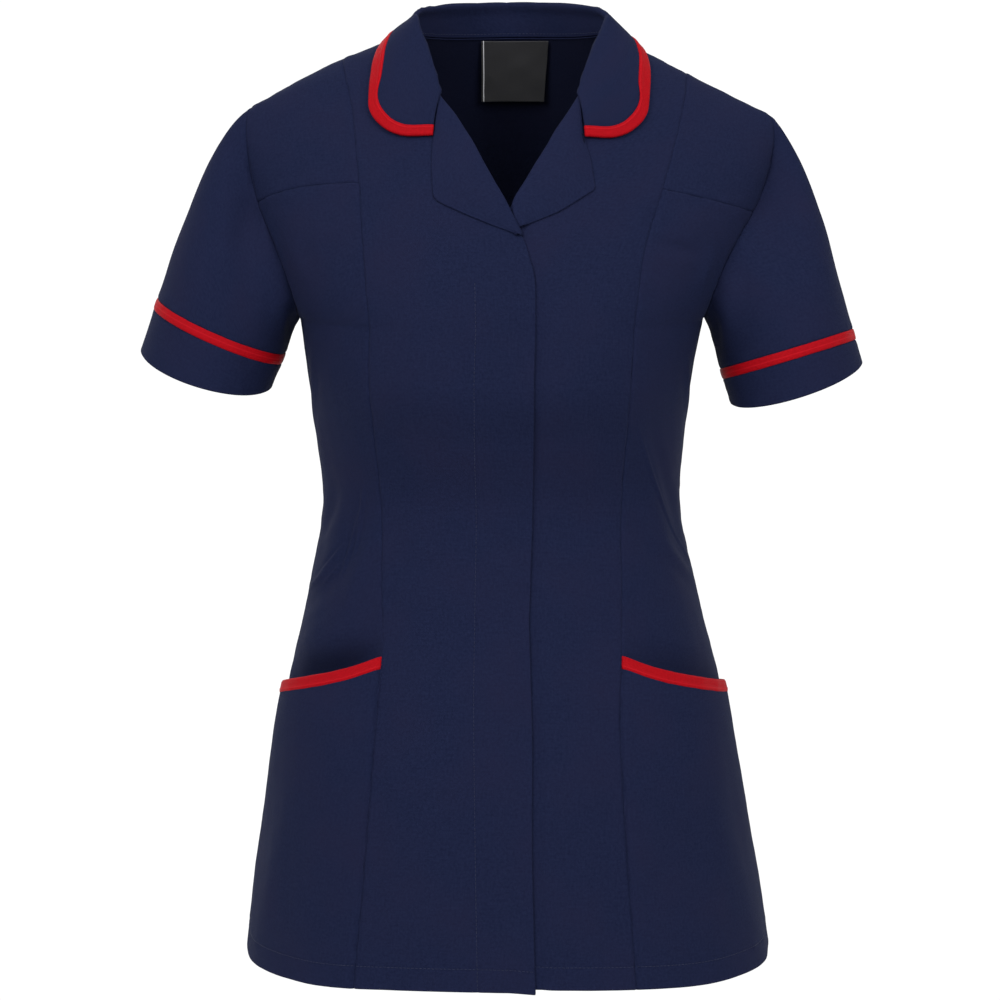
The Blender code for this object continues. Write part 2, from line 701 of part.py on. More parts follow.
def pocket(side):
    """A patch on the side front, from seam to seam, bound along its curved mouth."""
    rows_up = 7
    columns = SIDE_COLUMNS
    patch, binding = [[] for _ in range(rows_up + 1)], [[], [], []]
    for k in range(columns + 1):
        share = mix(0.004, 0.996, k / columns)
        mouth = through(MOUTH, "across", side_name(side), share)
        tall = (mouth + 1) * (UNDERARM_Z - HEM_Z)
        stop = 1 - (BINDING_WIDE + SEAM) / tall

        def at(height, extra=0.0):
            level = mix(-0.999, mouth, height)
            turn = mix(seam(PRINCESS, side, level), side * 90, share)
            gape = POCKET_GAPE * smooth(height * 1.6 - 0.6) * math.sin(math.pi * share**1.3) ** 0.8
            return form(turn, level, ON_TOP + gape + extra)

        for j in range(rows_up + 1):
            patch[j].append(at(stop * j / rows_up))
        for j in range(3):
            thick = (TRIM_WALL - WALL) / 2
            binding[j].append(at(mix(1 - (BINDING_WIDE) / tall, 1, j / 2), thick))
    if side < 0:
        patch = [row[::-1] for row in patch]
        binding = [row[::-1] for row in binding]
    cloth("pocket_" + side_name(side), patch, NAVY)
    cloth("pocket_binding_" + side_name(side), binding, RED, wall=TRIM_WALL)


def level_at(turn, z):
    """The level above the underarm where the form has this height."""
    low, high = 0.0, 1.0
    for _ in range(24):
        middle = (low + high) / 2
        low, high = (middle, high) if plain_form(turn, middle).z < z else (low, middle)
    return low


def neck_label():
    """A woven label hanging inside the back neck."""
    rows = []
    for j in range(4):
        turns = [mix(*LABEL_TURNS, k / 4) for k in range(5)]
        hang = mix(*LABEL_HANG, j / 3)
        rows.append([form(turn, level_at(turn, mix(*LABEL_Z, j / 3)), -hang) for turn in turns])
    cloth("neck_label", rows, BLACK, wall=LABEL_WALL)


def main():
    clear_scene()
    front_right()
    front_left()
    for side in (-1, 1):
        side_front(side)
        sleeve(side)
        lapel(side)
        pocket(side)
    back()
    collar()
    neck_label()


main()
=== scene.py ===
import math

import bpy
import numpy as np
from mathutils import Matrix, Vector


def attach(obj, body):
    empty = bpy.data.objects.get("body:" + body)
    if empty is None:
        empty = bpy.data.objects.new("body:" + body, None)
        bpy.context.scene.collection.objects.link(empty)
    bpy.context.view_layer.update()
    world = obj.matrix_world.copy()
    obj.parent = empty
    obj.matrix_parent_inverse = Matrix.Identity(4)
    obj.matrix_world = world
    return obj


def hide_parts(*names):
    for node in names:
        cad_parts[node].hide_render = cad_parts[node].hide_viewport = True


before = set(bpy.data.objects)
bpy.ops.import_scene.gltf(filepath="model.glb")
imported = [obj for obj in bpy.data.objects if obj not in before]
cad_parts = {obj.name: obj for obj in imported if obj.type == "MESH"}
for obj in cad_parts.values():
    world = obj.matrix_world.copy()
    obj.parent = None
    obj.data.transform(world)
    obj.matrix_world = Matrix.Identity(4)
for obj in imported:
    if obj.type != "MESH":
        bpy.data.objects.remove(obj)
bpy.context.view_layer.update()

print("tunic: frame loaded,", len(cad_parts), "pieces")

# A place on the tunic is a turn, in degrees from the centre front (90 is its left side seam, -90 its
# right one, 180 the centre back), and a level: -1 at the hem, 0 at the underarm, 1 at the shoulder seam.

tunicForm = dict(
    hemZ=-0.711,
    underarmZ=-0.216,
    neckX=0.077,  # where the shoulder seam meets the neck
    neckZ=0.001,
    tipX=0.2,
    slopeRight=0.465,
    slopeLeft=0.5,
    bowRight=0.004,
    shoulderY=0.005,
    shoulderSway=0.003,
    shoulderRound=0.105,
    napeRound=0.115,
    napeRise=0.045,
    sideFlare=0.12,
    tipTuck=0.05,
    bustOut=0.006,
    bustX=0.078,
    bustZ=-0.25,
    bustWide=0.045,
    bustHigh=0.055,
)
bodyRings = dict(  # level rings below the underarm
    z=[-0.711, -0.66, -0.565, -0.5, -0.425, -0.355, -0.305, -0.26, -0.216],
    halfWidth=[0.205, 0.1978, 0.1817, 0.169, 0.151, 0.1387, 0.143, 0.149, 0.1556],
    front=[0.152, 0.15, 0.143, 0.131, 0.113, 0.102, 0.113, 0.124, 0.123],
    back=[0.136, 0.133, 0.121, 0.108, 0.089, 0.078, 0.084, 0.092, 0.098],
    squareness=[2.4, 2.4, 2.36, 2.32, 2.26, 2.2, 2.2, 2.2, 2.2],
    sway=[0.0025, 0.0015, 0.0, -0.001, -0.002, -0.003, -0.004, -0.004, -0.0025],
)
bigFolds = [  # the largest folds: turn, level, to a turn and level, width, height
    (-52, -0.3, -64, -0.44, 0.012, -0.0025),
    (-66, -0.22, -80, -0.36, 0.014, -0.0022),
    (50, -0.18, 66, -0.36, 0.013, 0.0024),
    (66, -0.24, 78, -0.34, 0.012, -0.002),
    (118, -0.26, 134, -0.33, 0.014, -0.0028),
    (140, -0.34, 158, -0.38, 0.014, -0.0024),
    (-120, -0.3, -138, -0.35, 0.014, -0.0028),
    (-148, -0.27, -163, -0.31, 0.013, -0.0022),
]
princessSeam = dict(
    level=[-1, -0.79, -0.6, -0.5, -0.36, -0.26, -0.11, 0.09, 0.24, 0.42, 0.61, 0.83, 1],
    right=[-34.6, -34.0, -34.2, -35.0, -39.2, -41.0, -41.0, -37.4, -35.3, -34.2, -34.8, -37.7, -39.5],
    left=[27.9, 28.6, 30.4, 34.0, 38.8, 41.4, 41.2, 37.4, 35.7, 37.6, 39.6, 41.5, 42.5],
)
rightEdge = dict(  # the lapped edge, and above it the roll line and the neck
    level=[
        -1, -0.91, -0.81, -0.61, -0.5, -0.45, -0.405, -0.355, -0.305, -0.2, -0.09,
        0.03, 0.125, 0.158, 0.192, 0.227, 0.247, 0.306, 0.46, 0.62, 0.8, 1,
    ],
    turn=[
        5.5, 5.6, 5.7, 6.8, 7.1, 7.2, 7.9, 8.6, 9.4, 10.0, 9.6,
        8.8, 8.1, 7.5, 6.4, 5.2, 4.2, 1.2, -6.9, -14.8, -19.4, -22.6,
    ],
)
leftEdge = dict(
    level=[-1, -0.86, -0.41, 0.09, 0.2, 0.245, 0.306, 0.384, 0.46, 0.54, 0.62, 0.8, 1],
    turn=[-5.5, -5.5, -7.0, -6.5, -3.3, -1.4, 1.3, 5.2, 9.0, 12.7, 15.8, 20.2, 22.6],
)
hemWay = dict(  # how far the hem rises or drops on its way round from the centre front
    turn=[0, 25, 50, 74, 90, 120, 180],
    rise=[0.0034, 0.0008, -0.0028, -0.0026, 0.004, 0.0015, 0.0],
)
armhole = dict(  # its turns on the fronts, and on the back
    level=[0, 0.03, 0.075, 0.13, 0.2, 0.306, 0.42, 0.52, 0.62, 0.75, 0.87, 1],
    right=[90, 80.5, 74.0, 71.0, 69.8, 70.9, 74.5, 76.5, 77.5, 78.0, 79.0, 80],
    left=[90, 80.5, 74.5, 71.5, 70.4, 71.8, 77.5, 82.0, 84.0, 83.5, 82.0, 80],
    back=[90, 100.0, 107.5, 112.0, 113.5, 112.5, 110.0, 108.0, 106.5, 104.5, 102.4, 100],
)
gorgeLevel = 0.605  # where the collar starts
sideNames = {-1: "right", 1: "left"}
edgeSteps = [0.0, 0.0006, 0.0013, 0.0022, 0.0034]  # rows and columns lie closer together at an edge


def mix(a, b, share):
    return a + (b - a) * share


def smooth(value):
    value = np.clip(value, 0.0, 1.0)
    return value * value * (3 - 2 * value)


def bump(value):  # 1 at 0, and fading over about 1
    return np.exp(-value * value)


def through(table, column, at):  # a smooth curve through a table's column, against its first one
    keys, values = (np.array(table[name], float) for name in (next(iter(table)), column))
    at = np.clip(at, keys[0], keys[-1])
    i = np.clip(np.searchsorted(keys, at, side="right") - 1, 0, len(keys) - 2)
    steps = np.diff(values) / np.diff(keys)
    before, after = steps[:-1], steps[1:]
    turning = before * after <= 0
    inner = np.where(turning, 0.0, 2 * before * after / np.where(turning, 1.0, before + after))
    slopes = np.concatenate([steps[:1], inner, steps[-1:]])
    span = keys[i + 1] - keys[i]
    t = (at - keys[i]) / span
    return (
        values[i] * (1 + 2 * t) * (1 - t) ** 2
        + values[i + 1] * t * t * (3 - 2 * t)
        + span * (slopes[i] * t * (1 - t) ** 2 - slopes[i + 1] * t * t * (1 - t))
    )


def curve(start, startPull, end, endPull, t):
    t = np.asarray(t)[..., None]
    return (
        start * ((1 + 2 * t) * (1 - t) ** 2)
        + startPull * (t * (1 - t) ** 2)
        + end * (t * t * (3 - 2 * t))
        - endPull * (t * t * (1 - t))
    )


def size(vectors):
    return np.linalg.norm(vectors, axis=-1)


def unit(vectors):
    return vectors / np.maximum(size(vectors), 1e-12)[..., None]


def walked(line):  # how far along a line its points are
    return np.concatenate([[0.0], np.cumsum(size(np.diff(line, axis=0)))])


def placesAt(at, run, line):
    return np.stack([np.interp(at, run, column) for column in line.T], -1)


def spacing(long, step, start=True, end=True):  # shares of a length, closer together at its ends
    low = edgeSteps if start else [0.0]
    high = [long - d for d in (edgeSteps if end else [0.0])][::-1]
    count = max(2, round((high[0] - low[-1]) / step))
    middle = np.linspace(low[-1], high[0], count + 1)[1:-1]
    return np.concatenate([low, middle, high]) / long


def trunk(turn, z):
    across = np.sin(np.radians(turn))
    power = through(bodyRings, "squareness", z)
    out = np.maximum(0.0, 1 - np.abs(across) ** power) ** (1 / power)
    isBack = np.cos(np.radians(turn)) < 0
    depth = np.where(isBack, through(bodyRings, "back", z), -through(bodyRings, "front", z))
    x = through(bodyRings, "sway", z) + across * through(bodyRings, "halfWidth", z)
    return np.stack([x, depth * out, z + 0 * x], -1)


def shoulderLine(across, isBack):
    f = tunicForm
    x = f["tipX"] * across
    slope = mix(f["slopeRight"], f["slopeLeft"], smooth(x / f["neckX"] / 2 + 0.5))
    inside = 1 - (x / f["neckX"]) ** 2
    along = (np.abs(x) - f["neckX"]) / (f["tipX"] - f["neckX"])
    outerZ = f["neckZ"] - slope * (np.abs(x) - f["neckX"])
    outerZ = outerZ + np.where(x > 0, 0.0, f["bowRight"]) * np.sin(np.pi * along)
    innerZ = f["neckZ"] + slope * f["neckX"] * inside / 2
    innerZ = innerZ + np.where(isBack, f["napeRise"] * inside**2, 0.0)
    z = np.where(inside <= 0, outerZ, innerZ)
    return np.stack([x + f["shoulderSway"], f["shoulderY"] + 0 * x, z], -1), np.maximum(0.0, inside)


def shoulders(turn, level):
    f = tunicForm
    across = np.sin(np.radians(turn))
    isBack = np.cos(np.radians(turn)) < 0
    low = np.full_like(turn, f["underarmZ"])
    step = 0.004
    bottom = trunk(turn, low)
    top, inside = shoulderLine(across, isBack)
    start = (bottom - trunk(turn, low - step)) * ((top[..., 2] - bottom[..., 2]) / step)[..., None]
    start[..., 0] = f["sideFlare"] * across
    bow = np.maximum(0.0, 1 - across * across) ** 0.25
    over = (f["shoulderRound"] + np.where(isBack, f["napeRound"] * inside**2, 0.0)) * bow
    end = np.stack([-f["tipTuck"] * across, np.where(isBack, -over, over), 0 * over], -1)
    return curve(bottom, start, top, end, level)


def plainForm(turn, level):
    f = tunicForm
    turn, level = np.broadcast_arrays(np.asarray(turn, float), np.asarray(level, float))
    turn = (turn + 180) % 360 - 180
    z = f["underarmZ"] + np.minimum(level, 0) * (f["underarmZ"] - f["hemZ"])
    points = np.where((level <= 0)[..., None], trunk(turn, z), shoulders(turn, np.maximum(level, 0)))
    wide = (np.abs(points[..., 0]) - f["bustX"]) / f["bustWide"]
    high = (points[..., 2] - f["bustZ"]) / f["bustHigh"]
    isFront = np.cos(np.radians(turn)) > 0
    points[..., 1] -= np.where(isFront, f["bustOut"] * np.exp(-wide * wide - high * high), 0.0)
    return points


def facing(turn, level):  # the way that the form faces
    high = np.minimum(np.asarray(level) + 0.01, 0.998)
    along = plainForm(np.asarray(turn) + 0.5, level) - plainForm(np.asarray(turn) - 0.5, level)
    return unit(np.cross(along, plainForm(turn, high) - plainForm(turn, high - 0.02)))


clothUneven = dict(
    slow=(0.0005, 0.08),  # the height and length of its waves
    fine=(0.00012, 0.022),
    seamPucker=(0.0002, 0.011),
    stitchPucker=(0.0002, 0.0088),
    sink=0.28,  # how deep the troughs beside a ridge are
)
bodyCreases = [  # the turns and levels that each runs through, its width and its height (in mm)
    (-48.6, -0.25, -50.6, -0.3, -52.6, -0.356, 1.7, 1.5),
    (-51, -0.285, -54, -0.33, -57.6, -0.388, 1.8, 1.6),
    (-57.2, -0.342, -67.4, -0.388, -86, -0.43, 2.6, 1.1),
    (-59.5, -0.345, -64, -0.366, -71, -0.392, 1.8, 1.4),
    (-56.8, -0.362, -61.5, -0.382, -67, -0.404, 1.8, 1.3),
    (-60, -0.395, -70, -0.425, -84, -0.452, 7, -1.2),
    (-62, -0.25, -72, -0.3, -86, -0.345, 6.5, -1.1),
    (-45, -0.33, -49, -0.385, -52, -0.43, 6, 0.9),
    (45.3, -0.15, 55.9, -0.241, 69.2, -0.316, 86, -0.38, 1.7, 1.3),
    (51, -0.15, 62, -0.235, 78, -0.3, 6, -0.9),
    (58, -0.33, 70, -0.375, 85, -0.415, 6, 1.3),
    (44, -0.29, 50, -0.34, 56, -0.385, 6, -0.9),
    (70, -0.06, 78, -0.115, 87, -0.16, 6, 1.4),
    (-70, -0.05, -78, -0.12, -87, -0.17, 6.5, 1.2),
    (37, 0.395, 35.9, 0.345, 36.6, 0.292, 4.5, -1),
    (37.5, 0.28, 45, 0.262, 55, 0.258, 5, -1.3),
    (40, 0.35, 47, 0.335, 55, 0.345, 11, 1.2),
    (58, 0.29, 61, 0.215, 60, 0.14, 7, 1.2),
    (-57, 0.32, -60, 0.235, -59, 0.15, 8, 1),
    (-38, 0.33, -45, 0.3, -53, 0.31, 10, 0.6),
    (3, 0.238, -2.5, 0.252, -8, 0.25, 4, 0.8),
    (5.2, 0.222, 0.5, 0.196, -4, 0.185, 4.5, -0.6),
    (7, 0.205, 10, 0.15, 11, 0.09, 6, 0.6),
    (1.5, -0.372, 6.5, -0.382, 12, -0.395, 5.5, 0.6),
    (-6, -0.3, -1, -0.33, 6, -0.345, 7, -0.6),
    (12, -0.33, 20, -0.35, 28, -0.34, 9, 0.7),
    (-30, -0.35, -22, -0.372, -14, -0.365, 9, -0.7),
    (-20, -0.06, -16, -0.12, -15, -0.19, 12, 0.6),
    (22, -0.07, 18, -0.14, 18, -0.22, 12, 0.6),
    (-22, -0.62, -24, -0.78, -25, -0.93, 16, 1),
    (17, -0.6, 19, -0.76, 20, -0.92, 16, 0.9),
    (-60, -0.7, -66, -0.82, -70, -0.95, 15, 1.1),
    (58, -0.68, 62, -0.8, 68, -0.94, 15, 1),
    (93, -0.3, 108, -0.345, 124, -0.36, 6, 2),
    (94, -0.35, 112, -0.395, 131, -0.4, 7, 1.7),
    (92, -0.24, 104, -0.285, 116, -0.3, 6, -1.4),
    (138, -0.3, 152, -0.335, 168, -0.33, 6.5, 1.9),
    (128, -0.25, 140, -0.285, 154, -0.292, 6, 1.4),
    (146, -0.4, 160, -0.425, 176, -0.415, 7.5, 1.3),
    (-93, -0.31, -107, -0.35, -126, -0.372, 6, 1.9),
    (-95, -0.255, -106, -0.29, -119, -0.31, 6.5, -1.3),
    (-134, -0.31, -150, -0.352, -166, -0.352, 7, 1.8),
    (-126, -0.395, -144, -0.428, -163, -0.432, 7.5, 1.4),
    (-142, -0.245, -155, -0.272, -168, -0.268, 6, 1.2),
    (178, -0.27, 183, -0.33, 181, -0.39, 11, -1.2),
    (116, 0.12, 124, 0.03, 138, -0.05, 8, 1.8),
    (114, 0.24, 126, 0.15, 141, 0.08, 9, 1.3),
    (-115, 0.13, -125, 0.035, -140, -0.04, 8, 1.7),
    (-114, 0.26, -127, 0.18, -144, 0.12, 9, 1.2),
    (140, -0.62, 141, -0.78, 140, -0.94, 18, 2.2),
    (165, -0.56, 167, -0.75, 168, -0.95, 17, -1.8),
    (-158, -0.58, -160, -0.76, -161, -0.95, 18, 2.1),
    (-128, -0.64, -130, -0.8, -131, -0.95, 17, -1.6),
    (112, -0.6, 113, -0.78, 113, -0.94, 15, -1.4),
]


def drawnThrough(places):  # a smooth line through two to four places
    across, up = np.array(places, float).reshape(-1, 2).T
    table = {"at": np.arange(len(across)), "across": across, "up": up}
    at = np.linspace(0, len(across) - 1, 13)
    return [through(table, column, at) for column in ("across", "up")]


def creaseRelief(points, lines):  # lines in space, each with its width and height in mm
    flat = points.reshape(-1, 3)
    relief = np.zeros(len(flat))
    for line, wide, high in lines:
        wide, high = wide / 1000, high / 1000
        reach = 3.5 * wide
        inside = np.all((flat > line.min(0) - reach) & (flat < line.max(0) + reach), axis=1)
        near = flat[inside]
        best, along = np.full(len(near), 1e9), np.zeros(len(near))
        for k in range(len(line) - 1):
            run = line[k + 1] - line[k]
            share = np.clip((near - line[k]) @ run / (run @ run), 0, 1)
            away = size(near - line[k] - share[:, None] * run)
            closer = away < best
            best[closer], along[closer] = away[closer], (k + share[closer]) / (len(line) - 1)
        shape = bump(best / wide) - clothUneven["sink"] * bump((best / wide - 1.9) / 0.8)
        relief[inside] += high * shape * np.sin(np.pi * (0.03 + 0.94 * along)) ** 0.7
    return relief.reshape(points.shape[:-1])


def waves(points, highAndLong, seed):  # uneven waves, up and down
    high, long = highAndLong
    draw = np.random.default_rng(seed)
    total = np.zeros(points.shape[:-1])
    for _ in range(7):
        way = unit(draw.normal(size=3)) * 2 * np.pi / (long * draw.uniform(0.7, 1.6))
        total = total + np.sin(points @ way + draw.uniform(0, 2 * np.pi))
    return high * (total / 2.6)


def bigFoldRelief(points):
    relief = np.zeros(points.shape[:-1])
    for turn, level, toTurn, toLevel, wide, high in bigFolds:
        start = plainForm(turn, level)
        run = plainForm(toTurn, toLevel) - start
        along = np.clip((points - start) @ run / (run @ run), 0, 1)
        away = size(points - start - along[..., None] * run) / wide
        relief += high * bump(away) * np.sin(np.pi * (0.1 + 0.8 * along))
    return relief


creaseLines = [(plainForm(*drawnThrough(places)), wide, high) for *places, wide, high in bodyCreases]


def onForm(turn, level, lift=0.0):  # a point of the worn cloth, with its creases
    points = plainForm(turn, level)
    relief = bigFoldRelief(points) + creaseRelief(points, creaseLines) + lift
    relief = relief + waves(points, clothUneven["slow"], 3) + waves(points, clothUneven["fine"], 5)
    points = points + facing(turn, level) * relief[..., None]
    away = np.abs((np.asarray(turn, float) + 180) % 360 - 180)
    points[..., 2] += through(hemWay, "rise", away) * smooth((-0.72 - level) / 0.28)
    return points


class Wire:  # a node's output, ready for sums
    def __init__(self, recipe, socket):
        self.recipe, self.socket = recipe, socket

    def math(self, operation, *values):
        return self.recipe.add("Math", {"operation": operation}, dict(enumerate(values)))

    def other(self, index):  # another output of the same node
        return Wire(self.recipe, self.socket.node.outputs[index])

    def __add__(self, value):
        return self.math("ADD", self, value)

    __radd__ = __add__

    def __sub__(self, value):
        return self.math("SUBTRACT", self, value)

    def __rsub__(self, value):
        return self.math("SUBTRACT", value, self)

    def __mul__(self, value):
        return self.math("MULTIPLY", self, value)

    __rmul__ = __mul__

    def sine(self):
        return self.math("SINE", self)

    def clipped(self):
        return self.math("MINIMUM", self.math("MAXIMUM", self, 0.0), 1.0)

    def past(self, edge, soft):  # 0 below an edge and 1 above it
        settings = {"interpolation_type": "SMOOTHSTEP"}
        return self.recipe.add("MapRange", settings, {0: self, 1: edge - soft, 2: edge + soft})


class Recipe:  # a material or a world, made of nodes
    def __init__(self, owner):
        owner.use_nodes = True
        self.owner, self.tree = owner, owner.node_tree

    def add(self, kind, settings, inputs):
        node = self.tree.nodes.new("ShaderNode" + kind)
        for name, value in settings.items():
            setattr(node, name, value)
        for name, value in inputs.items():
            self.feed(node.inputs[name], value)
        return Wire(self, node.outputs[0])

    def feed(self, socket, value):
        if isinstance(value, Wire):
            self.tree.links.new(value.socket, socket)
        else:
            socket.default_value = (*value, 1.0) if socket.type == "RGBA" else value

    def noise(self, place, scale, detail):
        return self.add("TexNoise", {}, {"Vector": place, "Scale": scale, "Detail": detail})

    def blend(self, a, b, share):
        return self.add("Mix", {"data_type": "RGBA"}, {0: share, 6: a, 7: b}).other(2)

    def finish(self, sockets, shader="Principled BSDF"):
        for name, value in sockets.items():
            self.feed(self.tree.nodes[shader].inputs[name], value)
        return self.owner


weaveLook = dict(  # how many to a metre, with the detail of the two that are clouds
    broad=(14.0, 3.0),
    slub=(480.0, 2.0),
    threadFine=1100.0,
    threadLong=70.0,
    relief=0.75,
    sheenRough=0.45,
    specular=0.05,
)
navyLook = dict(
    main=(0.009, 0.013, 0.0405),
    shade=(0.006, 0.0088, 0.0295),
    worn=(0.0138, 0.0188, 0.051),
    mauve=(0.0098, 0.011, 0.0335),
    pitch=0.00052,  # from one rib of the twill to the next
    ribHigh=0.00005,
    slubHigh=0.00008,
    rough=0.84,
    sheen=0.015,
    sheenTint=(0.45, 0.52, 0.8),
)
# darker copies of the navy for the cloth's inner faces: painted shade inside the tunic
navyInsidePaintedShadeLook = dict(
    main=(0.0048, 0.0066, 0.0195),
    shade=(0.0034, 0.0048, 0.015),
    worn=(0.0068, 0.0088, 0.0235),
    mauve=(0.005, 0.0056, 0.0165),
)
redLook = dict(
    main=(0.34, 0.0018, 0.006),
    shade=(0.28, 0.0014, 0.0048),
    worn=(0.4, 0.0032, 0.0085),
    mauve=(0.3, 0.0018, 0.0068),
    pitch=0.00042,
    ribHigh=0.000035,
    slubHigh=0.00005,
    rough=0.62,
    sheen=0.015,
    sheenTint=(1.0, 0.4, 0.4),
    fold=(0.48, 0.008, 0.015),  # a painted highlight: the lighter line along a fold
    foldWide=0.0007,
    bindingFoldHighlight=0.0021,  # how far along the cut the painted highlight runs
    bandFoldHighlight=0.0036,
)
threadLook = dict(
    dark=(0.009, 0.013, 0.036),
    light=(0.024, 0.03, 0.066),
    rough=0.42,
    sheen=0.1,
    specular=0.1,
)
labelLook = dict(
    turns=(186.0, 170.3),
    z=(-0.0491, -0.0024),
    hang=(0.007, 0.0044),  # from the back's outer face to its own, at its foot and head
    wide=0.051,
    long=0.047,
    step=0.0023,
    wall=0.0006,
    curl=0.0006,
    waves=(0.0002, 0.02),
    ground=(0.0045, 0.0045, 0.006),
    groundLight=(0.01, 0.01, 0.0125),
    line=(0.6, 0.6, 0.62),
    lineFrom=0.0012,
    lineTo=0.0019,
    lineSoft=0.00015,
    pitch=0.00045,
    ribHigh=0.00004,
    rough=0.62,
    sheen=0.15,
)


def wovenCloth(name, look, foldAt=None):
    recipe = Recipe(bpy.data.materials.new(name))
    place = recipe.add("UVMap", {"uv_map": "cut"}, {})
    u = recipe.add("SeparateXYZ", {}, {0: place})
    v = u.other(1)
    ribs = 2 * math.pi / look["pitch"]
    broad, slub = (recipe.noise(place, *weaveLook[key]) for key in ("broad", "slub"))
    fine, long = weaveLook["threadFine"], weaveLook["threadLong"]
    warp = recipe.noise(recipe.add("CombineXYZ", {}, {0: u * fine, 1: v * long}), 1.0, 1.0)
    weft = recipe.noise(recipe.add("CombineXYZ", {}, {0: u * long, 1: v * fine, 2: 3.0}), 1.0, 1.0)
    rib = ((u + v) * ribs + slub * 1.5).sine() * 0.5 + 0.5
    thread = ((u - v) * (ribs * 1.9)).sine() * 0.2
    height = (rib + thread) * look["ribHigh"] + (slub + warp + weft) * look["slubHigh"]
    relief = recipe.add("Bump", {}, {"Strength": weaveLook["relief"], "Distance": 1.0, "Height": height})
    mottle = ((slub + warp + weft) * 0.9 + broad * 0.5 + rib * 0.3 - 1.25).clipped()
    ground = recipe.blend(look["shade"], look["main"], mottle)
    ground = recipe.blend(ground, look["mauve"], ((broad - 0.42) * 3.0).clipped())
    colour = recipe.blend(ground, look["worn"], (rib * 0.16 + slub * 0.9 - 0.36).clipped())
    # a painted highlight along the fold line of a red binding or band
    if foldAt is not None:
        away = recipe.add("Math", {"operation": "ABSOLUTE"}, {0: v - foldAt})
        colour = recipe.blend(colour, look["fold"], (1 - away * (1 / look["foldWide"])).clipped() * 0.6)
    return recipe.finish({
        "Base Color": colour,
        "Roughness": broad * 0.08 + slub * 0.06 + (look["rough"] - 0.07),
        "Normal": relief,
        "Sheen Weight": look["sheen"],
        "Sheen Roughness": weaveLook["sheenRough"],
        "Sheen Tint": look["sheenTint"],
        "Specular IOR Level": weaveLook["specular"],
    })


def labelCloth():
    look, recipe = labelLook, Recipe(bpy.data.materials.new("labelSatin"))
    place = recipe.add("UVMap", {"uv_map": "cut"}, {})
    u = recipe.add("SeparateXYZ", {}, {0: place})
    slub = recipe.noise(place, 700.0, 2.0)
    rib = (u.other(1) * (2 * math.pi / look["pitch"])).sine() * 0.5 + 0.5
    line = u.past(look["lineFrom"], look["lineSoft"]) * (1 - u.past(look["lineTo"], look["lineSoft"]))
    relief = recipe.add("Bump", {}, {"Strength": 0.6, "Distance": 1.0, "Height": rib * look["ribHigh"]})
    ground = recipe.blend(look["ground"], look["groundLight"], (rib * 0.5 + slub * 0.5).clipped())
    return recipe.finish({
        "Base Color": recipe.blend(ground, look["line"], line),
        "Roughness": look["rough"] - rib * 0.1,
        "Normal": relief,
        "Sheen Weight": look["sheen"],
    })


def sewingThread():
    look, recipe = threadLook, Recipe(bpy.data.materials.new("navyThread"))
    place = recipe.add("TexCoord", {}, {}).other(3)
    twist = recipe.noise(place, 1500.0, 1.0)
    return recipe.finish({
        "Base Color": recipe.blend(look["dark"], look["light"], twist),
        "Roughness": twist * 0.15 + look["rough"],
        "Sheen Weight": look["sheen"],
        "Specular IOR Level": look["specular"],
    })


navyTwill = wovenCloth("navyTwill", navyLook)
# the inner-face navy, darker as painted shade
navyInsidePaintedShade = wovenCloth("navyInsidePaintedShade", {**navyLook, **navyInsidePaintedShadeLook})
redBinding = wovenCloth("redBinding", redLook, redLook["bindingFoldHighlight"])
redBand = wovenCloth("redBand", redLook, redLook["bandFoldHighlight"])
labelSatin = labelCloth()
navyThread = sewingThread()
print("tunic: materials made")


# Making cloth. A piece is a grid of points on its outer face, in rows from its bottom up, and each row
# runs to the left of someone who wears it, so that the grid faces out.


def gridFacing(points):
    return unit(np.cross(np.gradient(points, axis=1), np.gradient(points, axis=0)))


def leftward(points, side):
    return points if side > 0 else points[:, ::-1]


def raised(points, relief):
    return points + gridFacing(points) * relief[..., None]


def cutPlaces(points):  # how far along its row and its column each point is
    across, up = np.zeros(points.shape[:2]), np.zeros(points.shape[:2])
    across[:, 1:] = np.cumsum(size(np.diff(points, axis=1)), axis=1)
    up[1:] = np.cumsum(size(np.diff(points, axis=0)), axis=0)
    return across, up


def fromBorder(points, side):  # the distance from one border, measured square to it
    isRow, isLast = side in ("bottom", "top"), side in ("end", "top")
    turned = points.transpose(1, 0, 2) if isRow else points
    turned = turned[:, ::-1] if isLast else turned
    border = turned[:, :1]
    along = unit(np.gradient(border, axis=0))
    reach = turned - border
    square = size(reach - (reach * along).sum(-1, keepdims=True) * along)
    across = cutPlaces(turned)[0]
    away = np.where(across > 0.03, across, square)  # far from the border, its curve no longer counts
    away = away[:, ::-1] if isLast else away
    return away.T if isRow else away


seamLook = dict(
    deep=0.0006,  # how far a panel rolls in at its seam
    wide=0.0009,
    swell=0.00014,  # the allowance that shows through beside it
    swellAt=0.004,
    swellWide=0.003,
    puckerWide=0.0055,
)
stitchLook = dict(
    deep=0.0003,  # how far a stitch line draws the cloth in
    wide=0.0011,
    pitch=0.0031,
    long=0.0024,
    thick=0.00018,
    proud=0.00006,
    puckerWide=0.0045,
)


def sewn(points, sides, seed):  # rolls the named sides of a panel in to their seams
    look = seamLook
    pucker = waves(points, clothUneven["seamPucker"], seed)
    relief = np.zeros(points.shape[:2])
    for side in sides:
        away = fromBorder(points, side)
        relief += pucker * bump(away / look["puckerWide"]) - look["deep"] * bump(away / look["wide"])
        relief += look["swell"] * bump((away - look["swellAt"]) / look["swellWide"])
    return raised(points, relief)


def drawnIn(points, away, seed):  # pulls the cloth in along a stitch line
    look = stitchLook
    pucker = waves(points, clothUneven["stitchPucker"], seed)
    relief = pucker * bump(away / look["puckerWide"]) - look["deep"] * bump(away / look["wide"])
    return raised(points, relief)


